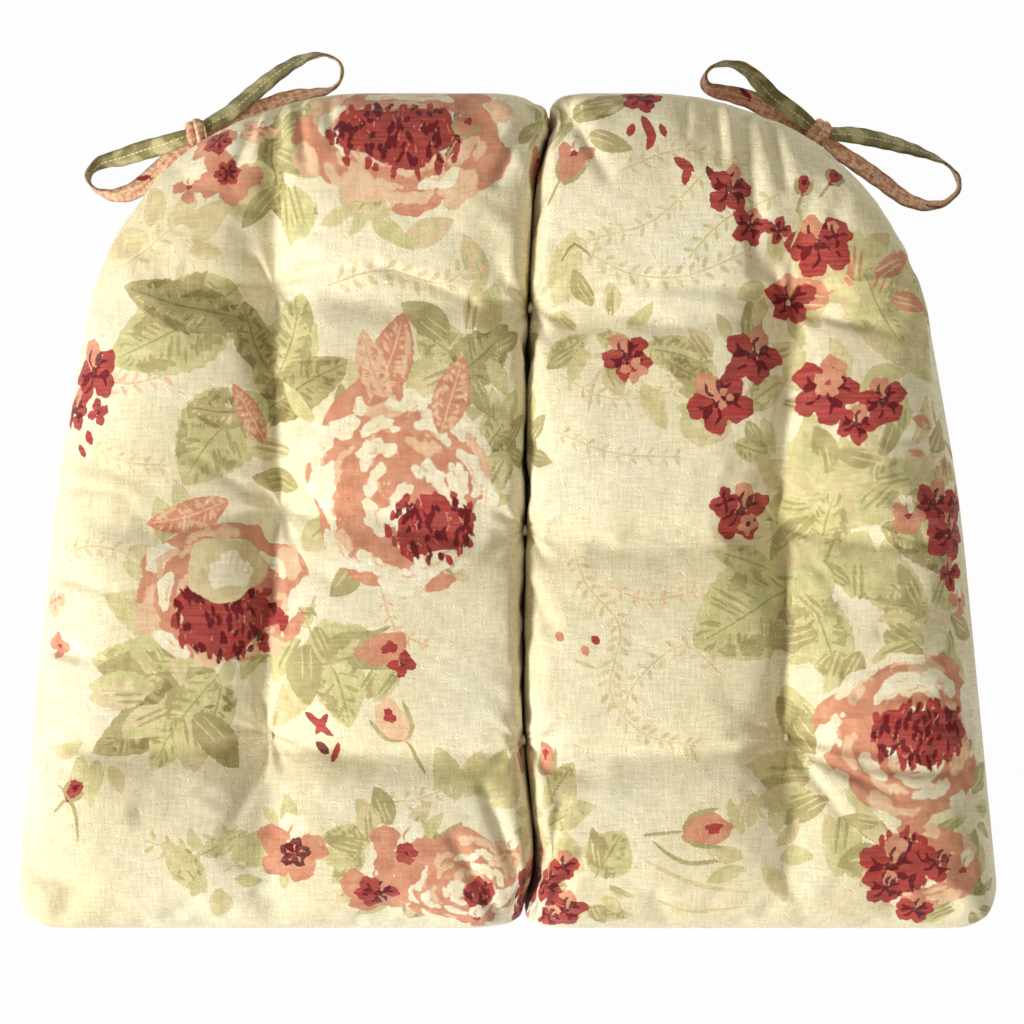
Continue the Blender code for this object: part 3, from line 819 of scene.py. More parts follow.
@dataclass
class Print:
    """A painted rose print: every motif's place on the flat cloth, and how each is drawn in ink."""

    motifs: tuple[Motif, ...]
    seed: int = 11
    overlap: float = 0.0003
    shades: dict[Ink, Array] = field(default_factory=dict)
    points: Array = field(default_factory=lambda: np.zeros((0, 2)))
    rng: np.random.Generator = field(default_factory=lambda: np.random.default_rng(0))

    def put_on(self, sheet: Object) -> None:
        """Draws the print over a cover and stores each ink's distance to its outline, in millimetres."""
        mesh = sheet.data
        flat = np.empty(len(mesh.vertices) * 3, np.float32)
        mesh.attributes["flat"].data.foreach_get("vector", flat)
        self.points = flat.reshape(-1, 3)[:, :2].astype(float)
        self.shades = {ink: np.full(len(self.points), -0.02) for ink in Ink}
        for number, motif in enumerate(self.motifs):
            self.rng = np.random.default_rng(self.seed + 17 * number)
            self.draw(motif)
        for ink, distance in self.shades.items():
            stored = mesh.attributes.new(ink.value, "FLOAT", "POINT")
            stored.data.foreach_set("value", (np.clip(distance, -0.006, 0.006) * 1000).astype(np.float32))

    def draw(self, motif: Motif) -> None:
        """Draws one motif over what is there."""
        drawn_by: dict[type, Callable] = {
            Rose: self.rose, Leaf: self.leaf, Blossom: self.blossom,
            Stroke: self.stroke, Sprig: self.sprig, Bud: self.bud, Foliage: self.foliage,
        }
        lengths = {name: metres(getattr(motif, name)) for name in LENGTHS if hasattr(motif, name)}
        drawn_by[type(motif)](replace(motif, **lengths))

    def ink_in(self, ink: Ink, near: Array, inside: Array) -> None:
        """Lays ink where inside is above zero and takes the other inks away there.

        Args:
            ink: The ink.
            near: The numbers of the points that inside is given for.
            inside: Distance into the shape, in metres, below zero outside it.
        """
        kept = {WINE: RED, MOSS: OLIVE}.get(ink)
        for other, distance in self.shades.items():
            if other is ink:
                distance[near] = np.maximum(distance[near], inside)
            elif other is not kept:
                distance[near] = np.minimum(distance[near], self.overlap - inside)

    def near(self, place: Sequence[float], reach: float) -> Array:
        """The numbers of the points within reach of a place."""
        away = self.points - np.array(place)
        return np.flatnonzero((np.abs(away[:, 0]) < reach) & (np.abs(away[:, 1]) < reach))

    def dab(
        self, ink: Ink, place: Sequence[float], radii: Sequence[float], turn: float, rough: float
    ) -> None:
        """A rounded patch with a wavy outline."""
        near = self.near(place, 1.5 * max(radii) + 0.002)
        if not len(near):
            return
        away = self.points[near] - np.array(place)
        along = away @ way_at(turn)
        across = away @ np.array([-math.sin(turn), math.cos(turn)])
        angle = np.arctan2(across / radii[1], along / radii[0])
        phases = self.rng.uniform(0, 2 * math.pi, 3)
        wavy = 1 + rough * (
            0.5 * np.sin(3 * angle + phases[0]) + 0.4 * np.sin(5 * angle + phases[1])
            + 0.16 * np.sin(9 * angle + phases[2])
        )
        share = np.hypot(along / radii[0], across / radii[1]) / wavy
        self.ink_in(ink, near, (1 - share) * min(radii))

    def line(self, ink: Ink, points: Sequence[Sequence[float]], width: float, taper: bool = True) -> None:
        """A drawn line of the given half width."""
        route = catmull([(*p, 0.0) for p in points], 0.003)[:, :2] if len(points) > 2 else np.array(points)
        middle = route.mean(axis=0)
        near = self.near(middle, float(np.abs(route - middle).max()) + 3 * width + 0.002)
        if not len(near):
            return
        here = self.points[near]
        inside = np.full(len(near), -1.0)
        last = len(route) - 1
        for i, (a, b) in enumerate(zip(route[:-1], route[1:])):
            step = b - a
            share = np.clip(((here - a) @ step) / max(step @ step, 1e-12), 0.0, 1.0)
            away = np.linalg.norm(here - (a + share[:, None] * step), axis=1)
            along = (i + share) / last
            thick = width * (np.sqrt(np.clip(4 * along * (1 - along), 0.05, 1)) if taper else 1.0)
            inside = np.maximum(inside, thick - away)
        self.ink_in(ink, near, inside)

    def stroke(self, motif: Stroke) -> None:
        """Draws a stroke."""
        self.line(motif.ink, motif.points, motif.width)

    def blade(self, ink: Ink, stalk: Array, tip: Array, width: float, curl: float, saw: float = 0.03) -> None:
        """A leaf's blade: pointed at its tip and toothed along its edge."""
        middle, reach = (stalk + tip) / 2, np.linalg.norm(tip - stalk)
        near = self.near(middle, 0.62 * reach + width)
        if not len(near):
            return
        axis = (tip - stalk) / reach
        away = self.points[near] - stalk
        along = away @ axis / reach
        across = away @ np.array([-axis[1], axis[0]]) - curl * reach * 4 * along * (1 - along)
        inner = np.clip(along, 0.0, 1.0)
        half = width * np.sin(math.pi * inner**0.85) ** 0.75 * (1 + saw * np.sin(inner * 70.0))
        inside = (half - np.abs(across)) * 0.85
        inside = np.minimum(inside, np.minimum(along, 1 - along) * reach)
        self.ink_in(ink, near, inside)

    def leaf(self, motif: Leaf) -> None:
        """Draws a leaf with darker dabs near its rim, a midrib and side veins."""
        stalk, tip = np.array(motif.stalk), np.array(motif.tip)
        self.blade(motif.ink, stalk, tip, motif.width, motif.curl)
        reach = np.linalg.norm(tip - stalk)
        axis = (tip - stalk) / reach
        side = np.array([-axis[1], axis[0]])

        def at(along: float, out: float) -> Array:
            """A place on the leaf, at shares of its length and of its half width."""
            half = motif.width * math.sin(math.pi * min(max(along, 0.02), 0.98) ** 0.85) ** 0.75
            bend = motif.curl * reach * 4 * along * (1 - along)
            return stalk + axis * reach * along + side * (out * half + bend)

        dark = {OLIVE: MOSS, SAGE: OLIVE, TAN: SAGE}.get(motif.ink, motif.vein)
        for _ in range(round(reach / 0.005)):
            along, sign = self.rng.uniform(0.12, 0.80), self.rng.choice((-1, 1))
            place = at(along, sign * self.rng.uniform(0.55, 0.80))
            lie = math.atan2(axis[1], axis[0]) - sign * 0.5
            self.dab(dark, place, (reach * self.rng.uniform(0.05, 0.10), motif.width * 0.12), lie, 0.3)
        rows = max(5, round(reach / 0.0030))
        for i in range(rows):
            for sign in (-1, 1):
                along = 0.04 + 0.80 * (i + 0.9 * self.rng.random()) / rows
                begin, out = self.rng.uniform(0.05, 0.45), self.rng.uniform(0.50, 0.90)
                lean = (0.5 * motif.width / reach) * self.rng.uniform(0.8, 1.3)
                ends = [at(min(along + lean * k, 0.95), sign * k) for k in (begin, 0.5 * (begin + out), out)]
                shade = self.rng.random()
                ink = dark if shade < 0.30 else TAN if shade < 0.42 else motif.vein
                self.line(ink, ends, self.rng.uniform(0.0004, 0.0010) if ink is motif.vein else 0.0004)
        self.line(dark, (at(-0.06, 0), at(0.5, 0), at(0.94, 0)), 0.0005)

    def foliage(self, motif: Foliage) -> None:
        """Draws loose leaves, each with a stroke of another ink along it."""
        for i in range(motif.count):
            turn = motif.start + motif.sweep * (i + self.rng.uniform(0.0, 0.6)) / motif.count
            way = way_at(turn)
            foot = np.array(motif.place) + way * motif.reach * self.rng.uniform(0.55, 1.0)
            bend = turn + self.rng.uniform(-0.7, 0.7)
            long = motif.length * self.rng.uniform(0.7, 1.2)
            tip = foot + way_at(bend) * long
            ink = motif.inks[i % len(motif.inks)]
            self.blade(ink, foot, tip, long * self.rng.uniform(0.18, 0.30), self.rng.uniform(-0.1, 0.1), 0.03)
            over = motif.inks[(i + 1) % len(motif.inks)]
            side = np.array([-way[1], way[0]]) * long * 0.07
            for sign in (-1, 1):
                share = self.rng.uniform(0.5, 0.8)
                self.line(over, (foot + side * sign, foot + (tip - foot) * share + side * sign), 0.0008)

    def frill(self, motif: Rose, ring: float, turn: float, ink: Ink, thick: float, span: float) -> None:
        """One ragged petal edge, a run of dabs along the rose's round.

        Args:
            motif: The rose.
            ring: How far out the edge lies, as a share of the rose's radius.
            turn: The angle of its middle.
            ink: The ink.
            thick: Its half thickness, in metres.
            span: Half the angle it takes up.
        """
        count = max(3, round(2 * span * ring * motif.radius / (1.5 * thick)))
        dip = self.rng.uniform(-0.04, 0.14)
        for k in range(count):
            share = 2 * (k + 0.5) / count - 1
            out = ring - dip * share**2 + self.rng.uniform(-0.018, 0.018)
            place = self.on_rose(motif, out, turn + span * share)
            away = place - np.array(motif.place)
            lie = math.atan2(away[1], away[0]) + math.pi / 2 + self.rng.uniform(-0.35, 0.35)
            swelled = thick * (1.15 - 0.5 * share**2) * self.rng.uniform(0.8, 1.15)
            self.dab(ink, place, (1.45 * swelled, swelled), lie, 0.16)

    def petals(self, motif: Rose) -> None:
        """The rose's petals: broken rings of frills, paler and closer together toward its middle."""
        for ring in (0.80, 0.66, 0.53, 0.41, 0.29):
            count = 3 + round(8 * ring)
            start = self.rng.uniform(0, 2 * math.pi)
            for i in range(count):
                turn = start + 2 * math.pi * (i + self.rng.uniform(-0.2, 0.2)) / count
                pale = self.rng.random() < motif.pale * (1.10 - 0.50 * ring)
                if not pale and self.rng.random() < 0.40:
                    continue
                ink = PETAL if pale else BLUSH
                thick = motif.radius * (0.056 if pale else 0.042) * self.rng.uniform(0.7, 1.3)
                span = math.pi / count * self.rng.uniform(0.60, 0.90)
                out = ring + self.rng.uniform(-0.05, 0.05)
                self.frill(motif, out, turn, ink, thick, span)
                if pale:
                    self.frill(motif, out - 0.035, turn, BLUSH, 0.25 * thick, 0.7 * span)

    def on_rose(self, motif: Rose, ring: float, turn: float) -> Array:
        """A place on a rose, at a share of its radius and an angle."""
        x, y = ring * motif.radius * math.cos(turn), ring * motif.radius * motif.squeeze * math.sin(turn)
        c, s = math.cos(motif.turn), math.sin(motif.turn)
        centre = np.array(motif.place) + 0.9 * (1 - ring) * motif.radius * np.array(motif.heart)
        return centre + np.array([x * c - y * s, x * s + y * c])

    def rose(self, motif: Rose) -> None:
        """Draws a rose from its outer petals in to its heart."""
        inner = 0.86 * motif.radius
        self.dab(SALMON, motif.place, (inner, inner * motif.squeeze), motif.turn, 0.12)
        for i in range(13):
            turn = 2 * math.pi * (i + self.rng.uniform(-0.3, 0.3)) / 13
            place = self.on_rose(motif, self.rng.uniform(0.76, 0.90), turn)
            size = motif.radius * self.rng.uniform(0.10, 0.22)
            ink = PETAL if self.rng.random() < 0.5 * motif.pale else (SALMON, BLUSH)[i % 2]
            self.dab(ink, place, (size, 0.65 * size), turn + math.pi / 2, 0.22)
        self.petals(motif)
        centre = np.array(motif.place) + np.array(motif.heart) * motif.radius
        size = wide, high = np.array(motif.heart_size) * motif.radius
        self.dab(RED, centre, (0.84 * wide, 0.78 * high), motif.turn, 0.2)
        for i in range(26):
            turn = 2 * math.pi * i / 26 + self.rng.uniform(-0.12, 0.12)
            spot = centre + size * way_at(turn) * self.rng.uniform(0.70, 1.0)
            lie = math.pi / 2 + self.rng.uniform(-0.45, 0.45)
            radii = (self.rng.uniform(0.0018, 0.0042), self.rng.uniform(0.0012, 0.0019))
            self.dab(RED, spot, radii, lie, 0.12)
        for i in range(round((wide * high) / 0.0000060) + 6):
            turn, out = self.rng.uniform(0, 2 * math.pi), math.sqrt(self.rng.uniform(0, 1)) * 0.88
            spot = centre + size * way_at(turn) * out
            ink = (WINE, WINE, SALMON)[i % 3]
            long = self.rng.uniform(0.0014, 0.0040)
            thick = self.rng.uniform(0.0007, 0.0014) if ink is WINE else 0.0006
            self.dab(ink, spot, (long, thick), math.pi / 2 + self.rng.uniform(-0.6, 0.6), 0.14)
        if motif.open_side:
            dome = np.array(motif.place) + np.array([0.02, motif.open_side]) * motif.radius
            self.dab(TAN, dome, (0.44 * motif.radius, 0.36 * motif.radius), 0.2, 0.12)
            inner = (0.24 * motif.radius, 0.19 * motif.radius)
            self.dab(PETAL, dome + np.array([0.002, -0.001]), inner, 0.2, 0.22)
            for i in range(9):
                x = (i - 4) * 0.075 * motif.radius
                rise = dome + np.array([x, 0.26 * motif.radius - abs(x) * 0.5])
                self.line(BLUSH if i % 2 else SAGE, (rise, rise - np.array([x * 0.3, 0.008])), 0.0006)

    def blossom(self, motif: Blossom) -> None:
        """Draws a blossom: rounded petals with darker folds and a starry heart."""
        start = motif.turn + self.rng.uniform(-0.2, 0.2)
        dark = WINE if motif.ink is RED else SALMON
        light = SALMON if motif.ink is RED else PETAL
        centre = np.array(motif.place)
        share = 2 * math.pi / motif.petals
        turns = [start + share * (i + self.rng.uniform(-0.12, 0.12)) for i in range(motif.petals)]
        for i, turn in enumerate(turns):
            way = way_at(turn)
            reach = motif.radius * self.rng.uniform(0.50, 0.62)
            radii = (motif.radius * self.rng.uniform(0.42, 0.50), motif.radius * self.rng.uniform(0.36, 0.44))
            odd = i % 4 == 1 and motif.radius > 0.007
            self.dab(light if odd else motif.ink, centre + way * reach, radii, turn, 0.16)
            if motif.radius > 0.006:
                fold = way * motif.radius
                bend = np.array([-way[1], way[0]]) * motif.radius * 0.12
                route = [centre + fold * 0.16, centre + fold * 0.42 + bend, centre + fold * 0.70]
                self.line(dark, route, 0.0008)
        for turn in turns[::2]:
            shade = centre + way_at(turn + 0.5) * motif.radius * 0.45
            if motif.radius > 0.008:
                self.dab(dark, shade, (motif.radius * 0.24, motif.radius * 0.13), turn + 0.9, 0.16)
        self.dab(motif.heart, centre, (motif.radius * 0.20, motif.radius * 0.16), start, 0.3)

    def sprig(self, motif: Sprig) -> None:
        """Draws a sprig."""
        route = catmull([(*p, 0.0) for p in motif.points], 0.002)[:, :2]
        self.line(motif.ink, motif.points, 0.00042, taper=False)
        steps = max(2, round(len(route) * 0.002 / motif.spacing))
        for i in range(1, steps + 1):
            k = min(len(route) - 2, int(len(route) * i / (steps + 1)))
            way = (route[k + 1] - route[k]) / max(np.linalg.norm(route[k + 1] - route[k]), 1e-9)
            side = np.array([-way[1], way[0]])
            for sign in (-1, 1):
                spot = route[k] + (side * sign * 0.75 + way * 0.55) * motif.leaf
                lie = math.atan2(*((side * sign * 0.75 + way * 0.55)[::-1]))
                self.dab(motif.ink, spot, (motif.leaf * 0.62, motif.leaf * 0.26), lie, 0.1)

    def bud(self, motif: Bud) -> None:
        """Draws a bud with its calyx and stalk."""
        way = way_at(motif.turn)
        side = np.array([-way[1], way[0]])
        foot = np.array(motif.place)
        self.line(OLIVE, (foot - way * motif.length * 0.9, foot - way * 0.3 * motif.length, foot), 0.0008)
        long = motif.length
        self.dab(motif.ink, foot + way * long * 0.5, (long * 0.55, long * 0.36), motif.turn, 0.15)
        self.dab(motif.core, foot + way * long * 0.66, (long * 0.17, long * 0.12), motif.turn, 0.3)
        for sign in (-1, 1):
            tip = foot + way * long * 0.8 + side * sign * long * 0.42
            self.line(OLIVE, (foot, foot + side * sign * long * 0.3 + way * 0.2 * long, tip), 0.0012)


MOTIFS: tuple[Motif, ...] = (
    # faint ground: sprigs and pale leaves
    Sprig(((88, 150), (64, 128), (34, 118), (20, 100)), 3.4, TAN),
    Sprig(((50, 150), (78, 160), (105, 152)), 3.4, TAN),
    Sprig(((28, 120), (52, 106), (78, 104), (108, 116)), 4, TAN),
    Sprig(((120, 140), (95, 128), (80, 112)), 3.6, SAGE),
    Sprig(((24, 60), (44, 50), (70, 52), (92, 64)), 3.2, TAN),
    Sprig(((20, 36), (46, 26), (76, 24)), 3, TAN),
    Sprig(((30, -18), (36, -34), (50, -52), (46, -80), (60, -98), (84, -106)), 4, TAN, 5.2),
    Sprig(((94, -72), (78, -60), (60, -72), (50, -90)), 3.6, TAN),
    Sprig(((46, -34), (62, -40), (84, -36)), 2.8, BLUSH),
    Sprig(((-190, 30), (-170, 22), (-150, 20)), 3.4, TAN),
    Sprig(((-206, -20), (-184, -16), (-166, -20)), 3.6, TAN),
    Sprig(((-196, 74), (-184, 60), (-168, 56), (-150, 60)), 3.8, BLUSH),
    Sprig(((-180, 50), (-168, 66), (-152, 72)), 3.6, BLUSH),
    Sprig(((-170, 110), (-150, 124), (-132, 136)), 4.6, TAN),
    Sprig(((-80, 100), (-56, 106), (-30, 100), (-14, 112)), 4.6, TAN),
    Sprig(((-62, -130), (-40, -128), (-20, -120)), 3.4, TAN),
    Sprig(((-120, -140), (-140, -150), (-160, -146)), 4, SAGE),
    Sprig(((-126, -160), (-110, -150), (-92, -152)), 3.6, SAGE),
    Sprig(((98, -136), (118, -128), (132, -112), (128, -96)), 4.4, TAN),
    Sprig(((-56, -36), (-50, -52), (-36, -60)), 2.6, BLUSH),
    Leaf((22, 92), (30, 124), 8, TAN, SAGE),
    Leaf((80, 46), (86, 28), 6.8, TAN, SAGE),
    Leaf((60, 56), (70, 36), 5.2, TAN, SAGE),
    Leaf((-74, 142), (-52, 130), 8.5, TAN, BLUSH),
    Leaf((-66, 132), (-52, 150), 6.8, SAGE, TAN),
    Leaf((-126, 146), (-114, 126), 7, TAN, SAGE),
    Leaf((-98, 120), (-84, 136), 6, TAN, SAGE),
    Leaf((-46, 118), (-24, 128), 6.2, TAN, BLUSH),
    Leaf((-10, 100), (-20, 122), 5.5, TAN, BLUSH),
    Leaf((-12, -108), (-20, -128), 6, TAN, SAGE),
    # leaves of the left half
    Leaf((-102, 128), (-104, 186), 5.5, OLIVE, MOSS, 0.04),
    Leaf((-98, 158), (-86, 190), 7),
    Leaf((-120, 100), (-178, 66), 20, SAGE, OLIVE, 0.06),
    Leaf((-118, 86), (-172, 100), 11.5, OLIVE, SAGE, 0.05),
    Leaf((-108, 50), (-92, 98), 14.5, SAGE, OLIVE, -0.06),
    Leaf((-106, 62), (-118, 94), 9, OLIVE, MOSS, 0.05),
    Leaf((-112, 40), (-68, 66), 11.5, OLIVE, MOSS, 0.05),
    Leaf((-108, 50), (-144, 12), 18.5, SAGE, OLIVE, -0.08),
    Leaf((-112, 44), (-142, 46), 8, OLIVE, TAN, 0.05),
    Leaf((-88, -52), (-104, -18), 9),
    Leaf((-86, -54), (-70, -96), 12.5, SAGE, OLIVE, 0.06),
    Leaf((-84, -60), (-106, -98), 8, TAN, SAGE, 0.05),
    Leaf((-140, -50), (-178, -38), 10.5, TAN, SAGE, 0.05),
    Leaf((-134, -64), (-186, -66), 11.5, SAGE, OLIVE, 0.05),
    Leaf((-130, -70), (-184, -108), 13.5, OLIVE, MOSS, 0.05),
    Leaf((-128, -72), (-158, -116), 12, SAGE, OLIVE, -0.05),
    Leaf((-126, -74), (-138, -106), 8.5, SAGE, MOSS, 0.05),
    Leaf((-20, 66), (-40, 82), 10.5, SAGE, OLIVE, 0.04),
    Leaf((-28, 56), (0, 82), 11.5, OLIVE, SAGE, -0.05),
    Leaf((-10, 28), (4, 46), 9.5),
    Leaf((-12, 10), (6, 34), 8, OLIVE, SAGE, 0),
    Leaf((-18, -148), (-34, -176), 7.5),
    Leaf((-30, -150), (-48, -138), 5.8, OLIVE, MOSS),
    Leaf((-60, -146), (-82, -144), 6.2),
    Leaf((-64, -150), (-78, -166), 5.2),
    Leaf((-36, -166), (-44, -190), 7.5, OLIVE, SAGE),
    Leaf((-150, -148), (-134, -170), 7, SAGE, TAN),
    Leaf((-136, -152), (-116, -142), 5, SAGE, TAN),
    # leaves of the right half
    Leaf((26, 178), (54, 184), 6.8, OLIVE, SAGE),
    Leaf((24, 166), (16, 182), 6),
    Leaf((150, 100), (196, 58), 16.5, TAN, SAGE, 0.05),
    Leaf((156, 116), (176, 72), 12.5, SAGE, TAN, -0.04),
    Leaf((178, 118), (204, 78), 10.5, SAGE, TAN, 0.05),
    Leaf((130, 112), (152, 92), 7, TAN, SAGE),
    Leaf((60, 72), (92, 62), 8.5, SAGE, OLIVE, 0.05),
    Leaf((70, 66), (96, 50), 5.8, OLIVE, MOSS, 0.03),
    Leaf((40, 78), (60, 68), 5.2),
    Leaf((100, 30), (118, 24), 5.8),
    Leaf((104, 46), (124, 60), 7, SAGE, TAN),
    Leaf((120, -12), (168, 30), 16.5, SAGE, TAN, -0.05),
    Leaf((132, 4), (178, 0), 11.5, TAN, SAGE, 0.05),
    Leaf((150, 10), (186, 20), 9.5, SAGE, OLIVE, -0.03),
    Leaf((138, -34), (146, 10), 12.5, SAGE, OLIVE, 0.04),
    Leaf((150, -20), (188, -50), 12, SAGE, OLIVE, 0.04),
    Leaf((166, -6), (204, -30), 9.5, OLIVE, TAN, 0.05),
    Leaf((134, -36), (150, -80), 12),
    Leaf((132, -28), (82, -60), 22.5, SAGE, OLIVE, 0.02),
    Leaf((120, -26), (90, -18), 7, SAGE, TAN, 0),
    Leaf((196, -156), (216, -172), 7, OLIVE, MOSS),
    Leaf((150, -160), (170, -152), 6.5),
    Leaf((196, -176), (176, -184), 7),
    Leaf((40, -162), (52, -142), 11),
    Leaf((18, -140), (38, -130), 6.2, SAGE, TAN),
    Leaf((20, -128), (30, -112), 6),
    Leaf((34, -180), (56, -186), 6),
    Leaf((18, 64), (36, 78), 6.2),
    Stroke(((14, 70), (36, 68), (66, 72), (88, 68)), 1.2, TAN),
    Stroke(((64, -146), (80, -156), (104, -152)), 1, OLIVE),
    Stroke(((60, -154), (84, -166), (108, -170)), 1.1, TAN),
    Stroke(((66, -176), (84, -182), (104, -178)), 1.2, TAN),
    Stroke(((-176, 72), (-184, 54), (-190, 40)), 0.7, TAN),
    Stroke(((24, 110), (30, 118), (38, 112)), 0.6, MOSS),
    # loose leaves round the roses
    Foliage((-112, 166), 16, 9, 18, (SAGE, OLIVE, SAGE), -2.2, 3.4),
    Foliage((-100, 150), 10, 6, 24, (OLIVE, SAGE), -2, 1.2),
    Foliage((-60, 140), 12, 5, 18, (TAN, SAGE), -2.6, 2.2),
    Foliage((-150, 118), 14, 8, 20, (TAN,), -0.4, 3.4),
    Foliage((-56, 16), 46, 16, 22, (SAGE, TAN, OLIVE)),
    Foliage((-126, -36), 36, 10, 18, (TAN, SAGE), 1.9, 3.4),
    Foliage((-92, -46), 14, 9, 24, (SAGE, OLIVE, SAGE), -2.4, 2.2),
    Foliage((-144, -76), 18, 13, 26, (OLIVE, SAGE, TAN), 2.4, 2.9),
    Foliage((-182, -104), 12, 6, 16, (SAGE, TAN), 3, 2.4),
    Foliage((-48, -60), 16, 7, 18, (SAGE, OLIVE), 2.6, 2.2),
    Foliage((-52, -156), 18, 14, 18, (OLIVE, SAGE, TAN)),
    Foliage((-96, -150), 12, 7, 14, (SAGE, TAN), 1.6, 3),
    Foliage((-130, -158), 10, 7, 16, (SAGE, TAN)),
    Foliage((-16, -134), 12, 6, 26, (TAN, SAGE), 0.2, 2.6),
    Foliage((-16, 70), 12, 8, 22, (OLIVE, SAGE, TAN)),
    Foliage((-4, 30), 10, 7, 18, (OLIVE, SAGE, TAN)),
    Foliage((30, 174), 12, 8, 18),
    Foliage((40, 78), 14, 9, 16, (SAGE, TAN, OLIVE)),
    Foliage((104, 56), 22, 11, 18, (SAGE, TAN, OLIVE)),
    Foliage((126, 100), 12, 7, 18, (TAN, SAGE)),
    Foliage((158, 90), 18, 10, 22, (SALMON, TAN, SAGE), 0.2, 3),
    Foliage((150, 46), 18, 10, 18, (TAN, SAGE)),
    Foliage((152, 4), 26, 20, 26, (SAGE, TAN, SAGE, OLIVE)),
    Foliage((180, 18), 18, 10, 20),
    Foliage((156, -50), 20, 14, 24, (SAGE, OLIVE, SAGE)),
    Foliage((190, -50), 14, 9, 22, (OLIVE, TAN, SAGE)),
    Foliage((148, -118), 18, 13, 26, (TAN, SAGE, OLIVE), 1.6, 4),
    Foliage((178, -142), 18, 11, 20, (SAGE, OLIVE)),
    Foliage((206, -136), 12, 8, 18, (SAGE, OLIVE)),
    Foliage((206, -172), 12, 8, 18, (OLIVE, SAGE)),
    Foliage((112, -150), 12, 8, 20, (TAN, SAGE)),
    Foliage((20, -140), 10, 8, 16, (SAGE, TAN)),
    Foliage((36, -168), 14, 9, 16),
    Foliage((196, 30), 10, 6, 16, (SALMON, TAN)),
    # roses
    Rose((-45, 166), 52, 0.66, 0, (-0.06, 0.02), (0.62, 0.36), 0.3),
    Rose((-50, 12), 46, 1.12, 0.3, (0.36, -0.42), (0.44, 0.36), 0.95),
    Rose((-126, -35), 41, 0.86, 0.1, (0.02, -0.3), (0.64, 0.5), 0.2, 0.22),
    Rose((178, -100), 44, 0.92, 0, (0.16, 0.02), (0.58, 0.36), 0.62),
    Rose((-22, -166), 30, 0.9, 0, (0.3, -0.2), (0.2, 0.2), 0.8),
    Rose((186, -160), 30, 0.72, 0, (-0.34, 0.1), (0.42, 0.5), 0.1),
    # petals, buds and blossoms of the left half
    Blossom((-124, 149), 15, SALMON, WINE),
    Blossom((-124, 150), 6.2, RED, WINE, 6),
    Blossom((-142, 144), 8, SALMON, RED, 4),
    Blossom((-134, 168), 12, SALMON, RED),
    Blossom((-130, 166), 7),
    Blossom((-112, 172), 8.5, BLUSH, SALMON),
    Bud((-22, 166), 14, 1.1),
    Leaf((-62, 46), (-46, 88), 10, SALMON, BLUSH, -0.05),
    Leaf((-54, 50), (-64, 80), 6.6, BLUSH, SALMON, 0.05),
    Leaf((-30, 34), (-20, 68), 8, SALMON, BLUSH, 0),
    Leaf((-124, 4), (-160, -6), 7.4, SALMON, BLUSH, 0.05),
    Leaf((-108, 30), (-122, 56), 5, SALMON, BLUSH, 0),
    Blossom((-188, 62), 15, RED, WINE, 5, 0.4),
    Blossom((-200, 46), 10, RED, WINE, 5, 0.1),
    Blossom((-184, 44), 6, RED, WINE, 4, 0.2),
    Stroke(((-190, 36), (-187, 30)), 2, RED),
    Stroke(((-194, 30), (-192, 24)), 1.6, RED),
    Bud((-66, -64), 21, 0.25),
    Blossom((-47, -68), 6, RED, WINE, 4),
    Bud((-46, -102), 20, 2.1, BLUSH, RED),
    Stroke(((-90, -90), (-84, -96), (-78, -100)), 2.1, RED),
    Stroke(((-80, -90), (-86, -100)), 1.8, RED),
    Stroke(((-86, -104), (-80, -108)), 1.7, WINE),
    Stroke(((-76, -104), (-78, -112)), 1.5, RED),
    Bud((-196, -128), 10, 0.8, RED, WINE),
    Stroke(((-200, -122), (-192, -132), (-190, -146)), 0.9, OLIVE),
    Blossom((-96, -150), 16, SALMON, RED),
    Blossom((-94, -152), 6.8, WINE, RED),
    Blossom((-58, -168), 16.5, SALMON, RED, 5, 0.5),
    Blossom((-58, -171), 10, RED, WINE, 6),
    Blossom((-47, -150), 15, SALMON, RED),
    Blossom((-45, -152), 5),
    Blossom((-208, -40), 8, BLUSH, SALMON, 4),
    Blossom((-205, -60), 6, SALMON, RED, 4),
    Blossom((-14, -186), 9, SALMON, RED, 4),
    Blossom((0, -152), 9, BLUSH, SALMON),
    # petals, buds and blossoms of the right half
    Bud((24, 146), 15, 1),
    Blossom((30, 158), 8.5, SALMON, RED),
    Blossom((60, 188), 9.5),
    Stroke(((60, 176), (64, 166), (62, 160)), 2.2, RED),
    Stroke(((56, 172), (54, 166)), 1.8, RED),
    Stroke(((68, 172), (70, 166)), 1.5, RED),
    Stroke(((74, 156), (82, 150)), 2.4, RED),
    Stroke(((80, 152), (78, 144)), 2, RED),
    Stroke(((88, 152), (92, 144)), 1.8, WINE),
    Blossom((98, 142), 11),
    Blossom((107, 126), 9),
    Blossom((120, 124), 6.2, RED, WINE, 4),
    Blossom((139, 118), 15, RED, WINE, 5, 0.7),
    Blossom((146, 122), 8, RED, WINE, 4),
    Blossom((127, 95), 10.5, RED, WINE, 5, 0.3),
    Bud((130, 140), 9, 1.3, RED, WINE),
    Bud((144, 146), 10, 0.9, RED, WINE),
    Stroke(((128, 136), (130, 128), (126, 116)), 1, SAGE),
    Stroke(((36, 42), (40, 60), (52, 66)), 0.8, TAN),
    Blossom((53, 68), 10.5, RED, WINE, 5, 0.8),
    Blossom((56, 62), 6, SALMON, RED, 4),
    Blossom((108, 69), 13, RED, WINE, 5, 0.2),
    Blossom((93, 48), 14.5, RED, WINE, 5, 0.9),
    Blossom((95, 50), 5, SALMON, WINE, 4),
    Blossom((141, 53), 15),
    Blossom((142, 56), 7, SALMON, RED),
    Blossom((166, 48), 11, RED, WINE, 5, 0.5),
    Blossom((154, 38), 9),
    Blossom((104, 0), 13, RED, WINE, 5, 0.4),
    Blossom((96, 4), 7, RED, WINE, 4),
